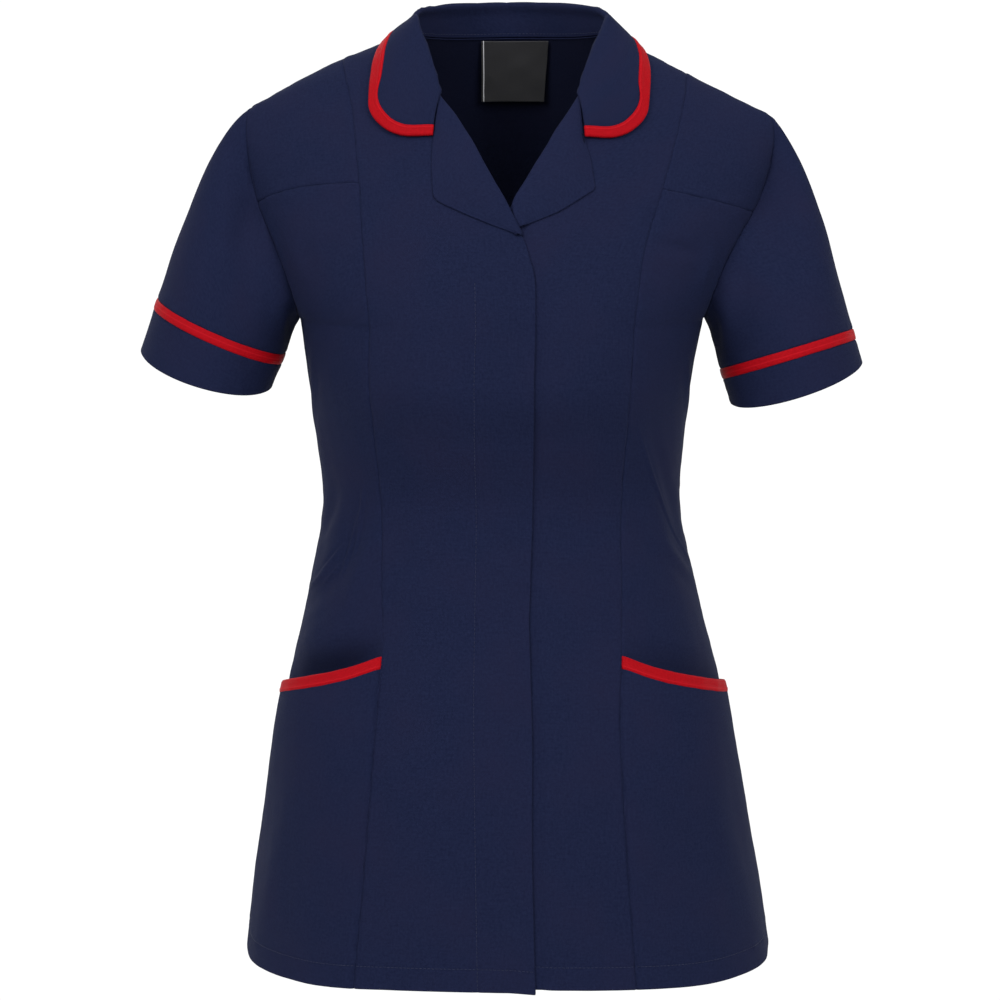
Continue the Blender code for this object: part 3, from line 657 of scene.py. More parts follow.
def newPiece(name, points, faces, materials, places=None):
    mesh = bpy.data.meshes.new(name)
    mesh.from_pydata(points.tolist(), [], faces)
    mesh.shade_smooth()
    for material in materials:
        mesh.materials.append(material)
    if places is not None:
        layer = mesh.uv_layers.new(name="cut")
        corners = np.zeros(len(mesh.loops), dtype=np.int32)
        mesh.loops.foreach_get("vertex_index", corners)
        layer.data.foreach_set("uv", places[corners].astype(np.float32).ravel())
    piece = bpy.data.objects.new(name, mesh)
    bpy.context.scene.collection.objects.link(piece)
    return piece


def clothPiece(name, node, points, wall, material=navyTwill, strip=1.0):
    rows, columns = points.shape[:2]
    wall = np.broadcast_to(np.asarray(wall, float), (rows, columns))[..., None]
    inner = points - gridFacing(points) * wall
    beyond = np.zeros_like(points)
    beyond[0] += unit(points[0] - points[1])
    beyond[-1] += unit(points[-1] - points[-2])
    beyond[:, 0] += unit(points[:, 0] - points[:, 1])
    beyond[:, -1] += unit(points[:, -1] - points[:, -2])
    rim = (points + inner) / 2 + unit(beyond) * wall * 0.42  # rounds the edge
    index = np.arange(rows * columns).reshape(rows, columns)
    loop = np.concatenate([index[0, :-1], index[:-1, -1], index[-1, :0:-1], index[:0:-1, 0]])
    after, half = np.roll(loop, -1), rows * columns
    rimAt = 2 * half + np.arange(len(loop))
    rimAfter = np.roll(rimAt, -1)
    a, b, c, d = (index[s].ravel() for s in (np.s_[:-1, :-1], np.s_[:-1, 1:], np.s_[1:, 1:], np.s_[1:, :-1]))
    faces = np.concatenate([
        np.stack([a, b, c, d], 1),
        np.stack([a, d, c, b], 1) + half,
        np.stack([after, loop, rimAt, rimAfter], 1),
        np.stack([rimAfter, rimAt, loop + half, after + half], 1),
    ])
    across, up = cutPlaces(points)
    places = np.stack([across, up], -1).reshape(-1, 2)
    vertices = np.concatenate([points.reshape(-1, 3), inner.reshape(-1, 3), rim.reshape(-1, 3)[loop]])
    places = np.concatenate([places, places, places[loop]])
    # the inner faces of navy pieces take the darker navy, as painted shade
    materials = [material, navyInsidePaintedShade] if material is navyTwill else [material]
    piece = newPiece(name, vertices, faces.tolist(), materials, places)
    if len(materials) > 1:
        isInner = (np.arange(len(faces)) // len(a)) == 1
        piece.data.polygons.foreach_set("material_index", isInner.astype(np.int32))
    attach(piece, "root")
    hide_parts(node)
    sides = np.cross(np.diff(points, axis=1)[:-1], np.diff(points, axis=0)[:, :-1])
    wide, long = max(0.01, float(across.max())), max(0.01, min(strip, float(up.max())))
    area = min(float(size(sides).sum()), wide * long)
    print(f"tunic: {name}, cut {wide * 100:.1f} x {long * 100:.1f} cm, {area * 1e4:.0f} cm2")
    return piece


def stitches(name, piece, line, out):  # one row of stitches along a line on a piece
    look, sides = stitchLook, 6
    run = walked(line)
    count = round(run[-1] / look["pitch"])
    pitch = (run[-1] - 0.0008) / count
    rings = np.array([0.0, 0.16, 0.5, 0.84, 1.0])
    thick = look["thick"] * np.array([0.35, 0.92, 1.0, 0.92, 0.35])
    high = look["proud"] + look["thick"] * np.array([-0.9, 0.15, 0.45, 0.15, -0.9])
    at = (np.arange(count) * pitch)[:, None] + 0.0007 + rings * look["long"]
    middle, up = placesAt(at, run, line), unit(placesAt(at, run, out))
    along = unit(middle[:, -1:] - middle[:, :1])
    side = np.cross(along, up)
    angle = np.arange(sides) * 2 * np.pi / sides
    ring = side[:, :, None] * np.cos(angle)[:, None] + up[:, :, None] * np.sin(angle)[:, None]
    points = (middle + up * high[:, None])[:, :, None] + ring * thick[:, None, None]
    first = np.arange(count)[:, None, None] * sides * len(rings)
    first = first + (np.arange(len(rings) - 1) * sides)[:, None] + np.arange(sides)
    after = first - np.arange(sides) + np.roll(np.arange(sides), -1)
    quads = np.stack([first, first + sides, after + sides, after], -1).reshape(-1, 4).tolist()
    starts = first[:, 0].tolist()
    ends = (first[:, -1, ::-1] + sides).tolist()
    newPiece(name, points.reshape(-1, 3), quads + starts + ends, [navyThread]).parent = piece


panelLook = dict(
    wall=0.0009,
    hemWall=0.0017,  # turned up and stitched
    hemDeep=0.017,
    hemStep=0.0012,
    frontWide=0.15,  # these widths set how many columns a panel gets
    leftFrontWide=0.165,
    sideWide=0.115,
    backHalfWide=0.215,
    upperTall=0.225,  # and these the rows above the underarm
    hookedTall=0.2,
    step=0.0023,
    sideStep=0.0016,
    backStep=0.0031,
    lap=0.0017,  # how far the left front sinks to pass under the right one
    lapCovered=1.1,
    lapClear=3.7,
    overhang=0.0035,  # how far the right front's corner hangs below the left one
    overhangHigh=0.06,
)
placketLook = dict(  # the stitch line that holds the right front's turned-back placket
    level=[-1.0, -0.86, -0.41, 0.138],
    turn=[-6.5, -6.8, -7.9, -6.8],
    top=0.138,
    fadeHigh=0.08,  # above its stitch line it fades out over these levels
    thick=0.00032,
    stepWide=0.0016,
    puff=0.00035,
    puffWide=0.01,
    waves=(1.0, 0.05),
    edgeWall=0.0014,
    edgeWide=0.042,
)
yokeSeam = dict(
    right=dict(princess=0.42, armhole=0.442, bow=0.018),
    left=dict(princess=0.42, armhole=0.418, bow=0.006),
    bend=0.714,  # the share of a side panel where its columns turn to the underarm
    hookTop=0.13,
    easeFrom=-0.35,
    slantFrom=0.05,  # below it the rows are level
    levelTall=0.24,  # how tall one level is there, in metres
    clear=0.018,
)
pocketMouth = dict(  # from the princess seam (0) to the side seam (1)
    across=[0.0, 0.2, 0.45, 0.7, 1.0],
    right=[-0.5, -0.523, -0.544, -0.5605, -0.578],
    left=[-0.499, -0.5225, -0.5435, -0.56, -0.5745],
)
mouthHollow = dict(  # how far the panel behind a pocket mouth sinks
    right=0.0175,
    left=0.007,
    wide=0.037,  # as a share of a level
)
backNeckCut = dict(
    drop=0.38,
    shape=1.4,
    sideShare=0.6,  # the share of the columns that run to the shoulder seam
)


def panelLevels(step, hooked):  # a panel's rows; they are closer where the armhole hooks in
    f, hook = tunicForm, yokeSeam["hookTop"]
    skirt = spacing(f["underarmZ"] - f["hemZ"], step, end=False) - 1
    if not hooked:
        return np.concatenate([skirt, spacing(panelLook["upperTall"], step, start=False)[1:]])
    top = hook + spacing(panelLook["hookedTall"], step, start=False) * (1 - hook)
    return np.concatenate([skirt, np.linspace(0, hook, 17)[1:-1], top])


def hemWalls(points):
    look = panelLook
    past = fromBorder(points, "bottom") - look["hemDeep"]
    return mix(look["hemWall"], look["wall"], smooth(past / look["hemStep"]))


def hemmed(points):
    return drawnIn(points, np.abs(fromBorder(points, "bottom") - panelLook["hemDeep"]), 29)


def hemStitches(name, piece, points):
    up = cutPlaces(points)[1]
    out = gridFacing(points)
    line, lineOut = [], []
    for k in range(points.shape[1]):
        row = np.searchsorted(up[:, k], panelLook["hemDeep"])
        share = (panelLook["hemDeep"] - up[row - 1, k]) / (up[row, k] - up[row - 1, k])
        line.append(mix(points[row - 1, k], points[row, k], share))
        lineOut.append(out[row, k])
    stitches(name, piece, np.array(line), np.array(lineOut))


def onEachRow(points, shares, at):  # one point of each row, at its own share
    return np.array([placesAt(share, shares, row) for share, row in zip(at, points)])


def rightFront():
    look, placket = panelLook, placketLook
    levels = panelLevels(look["step"], hooked=False)
    outer, inner = through(princessSeam, "right", levels), through(rightEdge, "turn", levels)
    shares = spacing(look["frontWide"], look["step"])
    points = onForm(mix(outer[:, None], inner[:, None], shares), levels[:, None])
    nearHem = 1 - smooth(fromBorder(points, "bottom") / look["overhangHigh"])
    points[..., 2] -= look["overhang"] * shares**2 * nearHem
    lineShare = (through(placket, "turn", levels) - outer) / (inner - outer)
    isSewn = levels <= placket["top"]
    away = size(points - onEachRow(points, shares, lineShare)[:, None]) + 0.05 * ~isSewn[:, None]
    edge = fromBorder(points, "end")
    inPlacket = smooth((shares - lineShare[:, None]) * look["frontWide"] / placket["stepWide"])
    below = 1 - smooth((levels[:, None] - placket["top"]) / placket["fadeHigh"])
    lift = placket["thick"] * inPlacket * below
    puff = placket["puff"] * bump(edge / placket["puffWide"])
    lift = lift + puff * (0.6 + waves(points, placket["waves"], 41)) * below
    points = hemmed(sewn(drawnIn(raised(points, lift), away, 23), ["start", "top"], 12))
    edgeWalls = mix(placket["edgeWall"], look["wall"], smooth(edge / placket["edgeWide"]))
    walls = np.maximum(hemWalls(points), edgeWalls)
    piece = clothPiece("rightFront", "front_right", points, walls)
    hemStitches("rightFrontHemStitches", piece, points)
    out = gridFacing(points)
    lineOut = [out[r, np.searchsorted(shares, lineShare[r])] for r in np.flatnonzero(isSewn)]
    stitches("placketStitches", piece, onEachRow(points, shares, lineShare)[isSewn], np.array(lineOut))


def leftFront():
    look = panelLook
    levels = panelLevels(look["step"], hooked=False)
    inner, outer = through(leftEdge, "turn", levels), through(princessSeam, "left", levels)
    shares = spacing(look["leftFrontWide"], look["step"])
    turns = mix(inner[:, None], outer[:, None], shares)
    past = turns - through(rightEdge, "turn", levels)[:, None] - look["lapCovered"]
    sink = -look["lap"] * (1 - smooth(past / (look["lapClear"] - look["lapCovered"])))
    points = hemmed(sewn(onForm(turns, levels[:, None], sink), ["end", "top"], 13))
    piece = clothPiece("leftFront", "front_left", points, hemWalls(points))
    hemStitches("leftFrontHemStitches", piece, points)


def armholeTurn(start, column, level, share):  # a turn between a seam and the armhole
    look = yokeSeam
    end = through(armhole, column, np.maximum(level, 0.0))
    aboveHook = through(armhole, column, np.maximum(level, look["hookTop"]))
    eased = smooth((level - look["easeFrom"]) / (look["hookTop"] - look["easeFrom"]))
    late = np.clip((share - look["bend"]) / (1 - look["bend"]), 0, 1)
    return mix(mix(start, mix(90.0, aboveHook, eased), np.minimum(share, look["bend"])), end, late)


def sideFrontPoints(side, levels, atYoke):
    name, look, hollow = sideNames[side], panelLook, mouthHollow
    yoke = yokeSeam[name]
    shares = spacing(look["sideWide"], look["sideStep"])[None]
    level = levels[:, None]
    atArmhole = level + (yoke["armhole"] - yoke["princess"]) * atYoke[:, None]
    start = np.abs(through(princessSeam, name, level))
    turns = armholeTurn(start, name, atArmhole, shares)
    across = (turns - start) / (turns[:, -1:] - start)
    here = mix(level, atArmhole, across) + yoke["bow"] * np.sin(np.pi * across) * atYoke[:, None]
    share = (turns - start) / (90 - start)
    fromMouth = here - through(pocketMouth, name, share)
    sink = hollow[name] * bump(fromMouth / hollow["wide"]) * np.sin(np.pi * np.clip(share, 0, 1) ** 0.8)
    points = onForm(side * turns, np.minimum(here, 1.0), -sink)
    return leftward(points, side)


def sideFronts(side):
    name = sideNames[side]
    levels = panelLevels(panelLook["sideStep"], hooked=True)
    yoke, clear, slantFrom = yokeSeam[name]["princess"], yokeSeam["clear"], yokeSeam["slantFrom"]
    near = np.array(edgeSteps) / yokeSeam["levelTall"]
    below = np.concatenate([levels[levels < yoke - clear], yoke - near[::-1]])
    above = np.concatenate([yoke + near, levels[levels > yoke + clear]])
    lower = sideFrontPoints(side, below, smooth((below - slantFrom) / (yoke - slantFrom)))
    upper = sideFrontPoints(side, above, 1 - smooth((above - yoke) / (1 - yoke)))
    lower = hemmed(sewn(lower, ["start", "end", "top"], 14 + side))
    upper = sewn(upper, ["start", "end", "top", "bottom"], 17 + side)
    clothPiece(name + "SideFront", "side_front_" + name, lower, hemWalls(lower))
    clothPiece(name + "UpperFront", "upper_front_" + name, upper, panelLook["wall"])


def backNeck(beta):  # beta is 0 at the neck point and 90 at the centre back
    f, cut = tunicForm, backNeckCut
    turn = np.degrees(np.arcsin(f["neckX"] * np.cos(np.radians(beta)) / f["tipX"]))
    return turn, 1 - cut["drop"] * np.sin(np.radians(beta)) ** cut["shape"]


def backPanel():
    look, part = panelLook, backNeckCut["sideShare"]
    levels = panelLevels(look["backStep"], hooked=True)
    shares = spacing(look["backHalfWide"], look["backStep"], end=False)[None]
    level = levels[:, None]
    even = armholeTurn(180.0, "back", level, 1 - shares)
    toNeck = mix(even[:, :1], 180 - backNeck(0.0)[0], np.clip(shares / part, 0, 1))
    fromBack, drop = backNeck(90 * np.clip((shares - part) / (1 - part), 0, 1))
    shaped = np.where(shares > part, 180 - fromBack, toNeck)
    turns = mix(even, shaped, smooth(level))
    here = np.where(level > 0, level * np.where(shares > part, drop, 1.0), level)
    turns = np.concatenate([turns, 360 - turns[:, -2::-1]], axis=1)
    here = np.concatenate([here, here[:, -2::-1]], axis=1)
    points = hemmed(sewn(onForm(turns, here), ["start", "end", "top"], 19))
    piece = clothPiece("backPanel", "back", points, hemWalls(points))
    hemStitches("backHemStitches", piece, points)


rightFront()
leftFront()
for side in (-1, 1):
    sideFronts(side)
backPanel()
print("tunic: body panels made")


sleeveLook = dict(
    wall=0.0009,
    cuffWall=0.0016,
    columns=62,
    long=0.185,
    cuffLong=0.026,
    bandWide=0.0072,
    bandWall=0.0016,
    bandProud=0.0002,
    bandPuff=0.0004,
    waves=(0.0005, 0.06),
    bandWaves=(0.00012, 0.016),
    cuffWaves=(0.0004, 0.05),
    step=0.0026,
    arrive=1.2,  # how straight it reaches its band
)
sleeveRings = dict(  # tilted rings at the band and the hem: x, y, z, half width, half depth, lean, dip
    right=[
        (-0.2205, -0.004, -0.2262, 0.0535, 0.059, 23.7, 0.002),
        (-0.2305, -0.007, -0.254, 0.0528, 0.058, 16.2, 0.0105),
    ],
    left=[
        (0.219, -0.004, -0.2445, 0.0532, 0.059, 16.9, -0.0055),
        (0.2252, -0.007, -0.265, 0.0534, 0.058, 18.0, 0.006),
    ],
)
sleeveHead = dict(  # how far out, forward and down it sets off, from the underarm (0) to the shoulder tip (1)
    share=[0.0, 0.3, 0.6, 1.0],
    right=[0.02, 0.045, 0.068, 0.09],
    left=[0.02, 0.042, 0.056, 0.082],
    forward=[0.0, 0.02, 0.035, 0.0],
    down=[0.03, 0.04, 0.045, 0.047],
)
sleeveCreases = dict(  # here a place is round the sleeve (0.25 front, 0.5 top, 0.75 back) and down it
    right=[
        (0.33, 0.02, 0.27, 0.25, 0.2, 0.55, 10, -3),
        (0.4, 0.1, 0.36, 0.4, 0.33, 0.8, 14, 1.4),
        (0.15, 0.04, 0.11, 0.3, 0.06, 0.6, 7, 1),
        (0.08, 0.1, 0.05, 0.35, 0.02, 0.62, 6, -0.7),
        (0.5, 0.05, 0.5, 0.3, 0.49, 0.6, 12, -1),
        (0.66, 0.05, 0.72, 0.3, 0.8, 0.6, 10, -2.2),
        (0.84, 0.04, 0.88, 0.28, 0.94, 0.55, 7.5, 2),
        (0.58, 0.2, 0.6, 0.5, 0.62, 0.9, 13, 1.2),
    ],
    left=[
        (0.36, 0.02, 0.3, 0.2, 0.24, 0.46, 11, -1.6),
        (0.17, 0.05, 0.13, 0.3, 0.08, 0.6, 7.5, 1.6),
        (0.09, 0.12, 0.06, 0.4, 0.03, 0.66, 6, -1.2),
        (0.46, 0.04, 0.47, 0.25, 0.47, 0.5, 12, -1.2),
        (0.4, 0.3, 0.38, 0.6, 0.36, 0.92, 14, 1),
        (0.65, 0.04, 0.7, 0.28, 0.78, 0.58, 10, -2),
        (0.85, 0.05, 0.89, 0.3, 0.95, 0.58, 7.5, 1.8),
        (0.56, 0.25, 0.58, 0.55, 0.6, 0.9, 13, 1.1),
    ],
)


def armholeLine(side, count):  # from the underarm up the front and down the back, evenly spaced
    share = np.linspace(0, 1, count)
    hook = yokeSeam["hookTop"]
    levels = np.concatenate([np.linspace(0, hook, 60), np.linspace(hook, 1, 160)[1:]])
    halves = []
    for column in (sideNames[side], "back"):
        line = onForm(side * through(armhole, column, levels), levels)
        run = walked(line)
        halves.append(placesAt(share * run[-1], run, line))
    points = np.concatenate([halves[0][:-1], halves[1][::-1]])
    front = np.concatenate([np.ones(count - 1), -np.ones(count)])
    return points, np.concatenate([share[:-1], share[::-1]]), front


def sleeveRing(ring, side, share, front):
    x, y, z, halfWidth, halfDepth, lean, dip = ring
    inward = np.array([-side * math.cos(math.radians(lean)), 0, -math.sin(math.radians(lean))])
    forward = front * np.sin(np.pi * share)
    points = np.array([x, y, z]) + inward * (halfWidth * np.cos(np.pi * share))[:, None]
    return points + np.stack([0 * forward, -halfDepth * forward, -dip * forward], -1)


def sleeve(side):
    look, name = sleeveLook, sideNames[side]
    start, share, front = armholeLine(side, look["columns"])
    band, hem = (sleeveRing(ring, side, share, front) for ring in sleeveRings[name])
    out, forward, drop = (through(sleeveHead, way, share) for way in (name, "forward", "down"))
    pull = np.stack([side * out, -front * forward, -drop], -1)
    run, fall = size(band - start), unit(hem - band)
    arrive = fall * (run * look["arrive"])[:, None]
    half = look["bandWide"] / 2

    def facingOut(points):
        return points if side < 0 else points[::-1]

    # Its cloth starts a little before the armhole, as its seam allowance.
    down = np.concatenate([[-0.02, -0.01], spacing(look["long"], look["step"])])[:, None]
    upper = curve(start, pull, band, arrive, down * (1 - half / run))
    lines = []
    for *places, wide, high in sleeveCreases[name]:
        around, along = drawnThrough(places)
        at = np.round(along * (len(upper) - 1)).astype(int), np.round(around * (len(start) - 1)).astype(int)
        lines.append((upper[at], wide, high))
    relief = creaseRelief(upper, lines) + waves(upper, look["waves"], 51 + side)
    relief = relief * smooth((1 - down) / 0.12) * smooth(down / 0.04)
    upper = sewn(raised(facingOut(upper), facingOut(relief)), ["top", "bottom", "start", "end"], 53 + side)
    clothPiece(name + "Sleeve", "sleeve_" + name, upper, look["wall"])

    across = np.linspace(-1, 1, 15)[:, None]
    points = curve(start, pull, band, arrive, 1 + half * np.minimum(across, 0) / run)
    points = facingOut(points + fall * (half * np.maximum(across, 0))[..., None])
    proud = look["bandProud"] + look["bandPuff"] * (1 - across**4)
    points = raised(points, proud + waves(points, look["bandWaves"], 57 + side))
    clothPiece(name + "SleeveBand", "sleeve_band_" + name, points, look["bandWall"], redBand)

    down = mix(half / size(hem - band), 1.0, spacing(look["cuffLong"], look["step"])[:, None])
    points = facingOut(mix(band, hem, down[..., None]))
    points = raised(points, waves(points, look["cuffWaves"], 61 + side))
    points = sewn(points, ["bottom" if side < 0 else "top", "start", "end"], 63 + side)
    clothPiece(name + "Cuff", "cuff_" + name, points, look["cuffWall"])


for side in (-1, 1):
    sleeve(side)
print("tunic: sleeves made")


collarLook = dict(
    wall=0.0017,
    edgingWide=0.008,
    sideWider=0.35,  # how much wider it looks where the fall is steep
    edgingWall=0.0024,
    waves=(0.00025, 0.035),
    edgingWaves=(0.0001, 0.014),
    tuck=0.0005,  # how far the cloth dips under its edging
    ridge=0.00034,  # the fold that shows along the inner side of an edging
    ridgeAt=0.24,
    roll=0.0019,
    puff=0.003,
    lift=0.0026,
    shoulderFlat=0.65,  # how much closer the edge lies where it crosses the shoulder
    steps=92,
    fallLong=0.078,
    standLine=0.018,  # where the stitches of the stand run, as a share
    under=0.004,  # how far the cloth runs on under its edging, as a share
    step=0.0021,
)
collarRun = dict(  # from the gorge (0) past the neck point (1) to the centre back (2)
    around=[0, 0.2, 0.4, 0.6, 0.8, 1.0, 1.15, 1.3, 1.6, 1.85, 2.0],
    inRight=[0.001, 0.0025, 0.003, 0.002, 0.003, 0.0045, 0.005, 0.0045, 0.0035, 0.0023, 0.002],
    inLeft=[0.001, 0.0028, 0.003, 0.0008, -0.0005, 0.001, 0.0022, 0.003, 0.0035, 0.0023, 0.002],
    up=[0.001, 0.005, 0.0085, 0.012, 0.0144, 0.014, 0.017, 0.0213, 0.0261, 0.0273, 0.0274],
    edgeRight=[15.6, 21.5, 27.0, 30.5, 30.0, 27.4, 26.4, 24.2, 16.5, 6.5, 0.0],
    edgeLeft=[17.1, 22.8, 27.8, 31.2, 31.4, 29.4, 28.2, 25.6, 16.5, 6.5, 0.0],
    edgeLevel=[0.496, 0.512, 0.552, 0.636, 0.78, 1.0, 0.855, 0.755, 0.612, 0.53, 0.512],
)
lapelLook = dict(
    wall=0.0009,
    rimWall=0.0016,
    rimWide=0.006,
    waves=(0.00015, 0.02),
    long=0.1,
    wide=0.034,
    lift=0.0015,
    puff=0.0012,
    roll=0.0014,
    step=0.0021,
)
lapelRun = dict(  # from its foot (0) to the gorge (1): its roll line, and its rim on the front
    along=[0.0, 0.25, 0.44, 0.47, 0.5, 0.53, 0.56, 0.75, 1.0],
    right=dict(
        rollTurn=[4.3, 1.0, -3.7, -4.4, -5.1, -5.7, -6.3, -10.0, -14.3],
        rollLevel=[0.247, 0.308, 0.393, 0.406, 0.42, 0.433, 0.446, 0.52, 0.6],
        rimTurn=[3.1, -5.5, -13.4, -14.7, -15.75, -16.0, -16.05, -16.1, -15.6],
        rimLevel=[0.247, 0.282, 0.324, 0.333, 0.345, 0.36, 0.375, 0.435, 0.494],
    ),
    left=dict(
        rollTurn=[3.9, 2.3, 6.2, 6.8, 7.4, 8.0, 8.6, 12.0, 15.5],
        rollLevel=[0.266, 0.314, 0.395, 0.408, 0.42, 0.432, 0.444, 0.52, 0.6],
        rimTurn=[5.0, 12.2, 18.1, 19.4, 20.4, 20.3, 20.0, 18.7, 17.0],
        rimLevel=[0.268, 0.304, 0.351, 0.363, 0.374, 0.385, 0.396, 0.45, 0.496],
    ),
)


def evenLines(keys, count):  # smooth lines through points along axis 1, evenly spaced
    ends = [2 * keys[:, :1] - keys[:, 1:2], 2 * keys[:, -1:] - keys[:, -2:-1]]
    padded = np.concatenate([ends[0], keys, ends[1]], 1)
    t = np.linspace(0, 1, 11)[None, :-1, None]
    parts = []
    for k in range(keys.shape[1] - 1):
        a, b, c, d = (padded[:, k + j][:, None] for j in range(4))
        bend = (2 * a - 5 * b + 4 * c - d) * t**2 + (3 * b - a - 3 * c + d) * t**3
        parts.append(0.5 * (2 * b + (c - a) * t + bend))
    return cutAlong(np.concatenate([*parts, keys[:, -1:]], axis=1), 0.0, 1.0, np.linspace(0, 1, count))


def cutAlong(lines, low, high, shares):  # the part of each line between two shares of its length
    run = cutPlaces(lines)[0]
    low, high = np.broadcast_to(low, len(lines)), np.broadcast_to(high, len(lines))
    cut = []
    for line, along, a, b in zip(lines, run, low, high):
        at = mix(a, b, shares) * along[-1]
        cut.append(placesAt(at, along, line))
    return np.array(cut)


def edgingSwell(across):  # across is 0 where a binding meets the cloth and 1 at its free edge
    look = collarLook
    ridge = look["ridge"] * bump((across - look["ridgeAt"]) / 0.09)
    return ridge - 0.0006 * smooth((across - 0.8) / 0.2) ** 2 - 0.0003 * smooth((0.08 - across) / 0.08)


def collar():
    look, f = collarLook, tunicForm
    place = np.linspace(-1, 1, 2 * look["steps"] + 1)
    side = np.where(place < 0, -1.0, 1.0)
    around = 2 - (2 - 0.012) * np.abs(place)
    level = mix(gorgeLevel, 1.0, np.minimum(around, 1))
    seamTurn = np.where(side < 0, through(rightEdge, "turn", level), through(leftEdge, "turn", level))
    neckTurn, neckLevel = backNeck(90 * np.clip(around - 1, 0, 1))
    turn = np.where(around <= 1, seamTurn, side * (180 - neckTurn))
    level = np.where(around <= 1, level, neckLevel)
    run = {column: through(collarRun, column, around) for column in collarRun}
    edgeTurn = np.where(side < 0, run["edgeRight"], run["edgeLeft"])
    edgeTurn = side * np.where(around <= 1, edgeTurn, 180 - edgeTurn)
    foot = onForm(turn, level)
    backward = np.where(around > 1, -foot[:, 1], 0)
    inward = unit(np.stack([f["shoulderSway"] - foot[:, 0], backward, 0 * around], -1))
    stand = inward * np.where(side < 0, run["inRight"], run["inLeft"])[:, None]
    stand[:, 2] = run["up"]
    tall = smooth(size(stand) / 0.008)[:, None]
    roll = (inward - np.array([0, 0, 1.1])) * look["roll"] * tall
    lift = look["lift"] * (1 - look["shoulderFlat"] * bump((around - 1.08) / 0.22))

    def fall(share):
        place = mix(turn, edgeTurn, share), mix(level, run["edgeLevel"], share)
        puff = look["puff"] * math.sin(math.pi * share) + lift * share
        return plainForm(*place) + facing(*place) * puff[:, None] + stand * (1 - share) ** 2

    keys = [foot + stand * s for s in (0.03, 0.35, 0.68)] + [foot + stand + roll, foot + stand]
    keys += [fall(s) for s in (0.08, 0.2, 0.35, 0.5, 0.65, 0.8, 0.9, 1.0)]
    section = evenLines(np.stack(keys, 1), 90)
    rim = unit(np.gradient(section[:, -1], axis=0))
    square = size(np.cross(rim, unit(section[:, -1] - section[:, -8])))  # sections meet the rim at a slant
    wide = look["edgingWide"] * (1 + look["sideWider"] * bump((around - 0.7) / 0.3)) / square
    stop = 1 - wide / cutPlaces(section)[0][:, -1]

    shares = spacing(look["fallLong"], look["step"])
    points = cutAlong(section, 0.0, stop + look["under"], shares).transpose(1, 0, 2)
    lift = look["wall"] / 2 + waves(points, look["waves"], 71)
    lift = lift - look["tuck"] * bump((1 - shares[:, None]) / 0.02)
    points = raised(points, lift)
    piece = clothPiece("collarCloth", "collar", points, look["wall"])
    isBack = around > 1
    row = int(np.searchsorted(shares, look["standLine"]))
    stitches("collarStandStitches", piece, points[row, isBack], gridFacing(points)[row, isBack])

    across = np.linspace(0, 1, 19)
    points = cutAlong(section, stop, 1.0, across).transpose(1, 0, 2)
    lift = look["edgingWall"] / 2 + edgingSwell(across[:, None]) + waves(points, look["edgingWaves"], 73)
    points, wall = raised(points, lift), look["edgingWall"]
    strip = look["edgingWide"] * (1 + look["sideWider"])  # its slanted columns are longer than its cut
    clothPiece("collarEdging", "collar_edging", points, wall, redBinding, strip)


def lapel(side):
    look, name = lapelLook, sideNames[side]
    table = {"along": lapelRun["along"], **lapelRun[name]}
    along = spacing(look["long"], look["step"])[:, None]
    shares = spacing(look["wide"], look["step"], start=False)[None]
    turns, levels = (
        mix(through(table, "roll" + way, along), through(table, "rim" + way, along), shares)
        for way in ("Turn", "Level")
    )
    lift = look["lift"] + look["puff"] * np.sin(np.pi * np.minimum(shares * 0.9 + 0.1, 1)) ** 1.5
    flat = onForm(turns, levels, lift)
    out = facing(turns[:, :1], levels[:, :1])
    toRim = unit(flat[:, 1:2] - flat[:, :1])
    angle = np.radians(np.linspace(165, 0, 12))[None, :-1, None]
    centre = flat[:, :1] - out * look["roll"]
    rolled = centre + out * look["roll"] * np.cos(angle) - toRim * look["roll"] * np.sin(angle)
    points = np.concatenate([rolled, flat], axis=1)
    points = leftward(points, side)
    points = raised(points, waves(points, look["waves"], 81 + side))
    fromRim = fromBorder(points, "end" if side > 0 else "start")
    walls = mix(look["rimWall"], look["wall"], smooth(fromRim / look["rimWide"]))
    clothPiece(name + "Lapel", "lapel_" + name, points, walls)


collar()
for side in (-1, 1):
    lapel(side)
print("tunic: collar and lapels made")


pocketLook = dict(
    wall=0.0009,
    lift=0.0016,
    wide=0.14,
    tall=0.215,
    inset=0.003,
    foot=-0.999,
    gape=0.0068,  # how far the mouth stands off at its middle
    bindingWide=0.0088,
    bindingWall=0.0022,
    bindingWaves=(0.0001, 0.014),
    step=0.0023,
    seamRoll=0.0022,
)


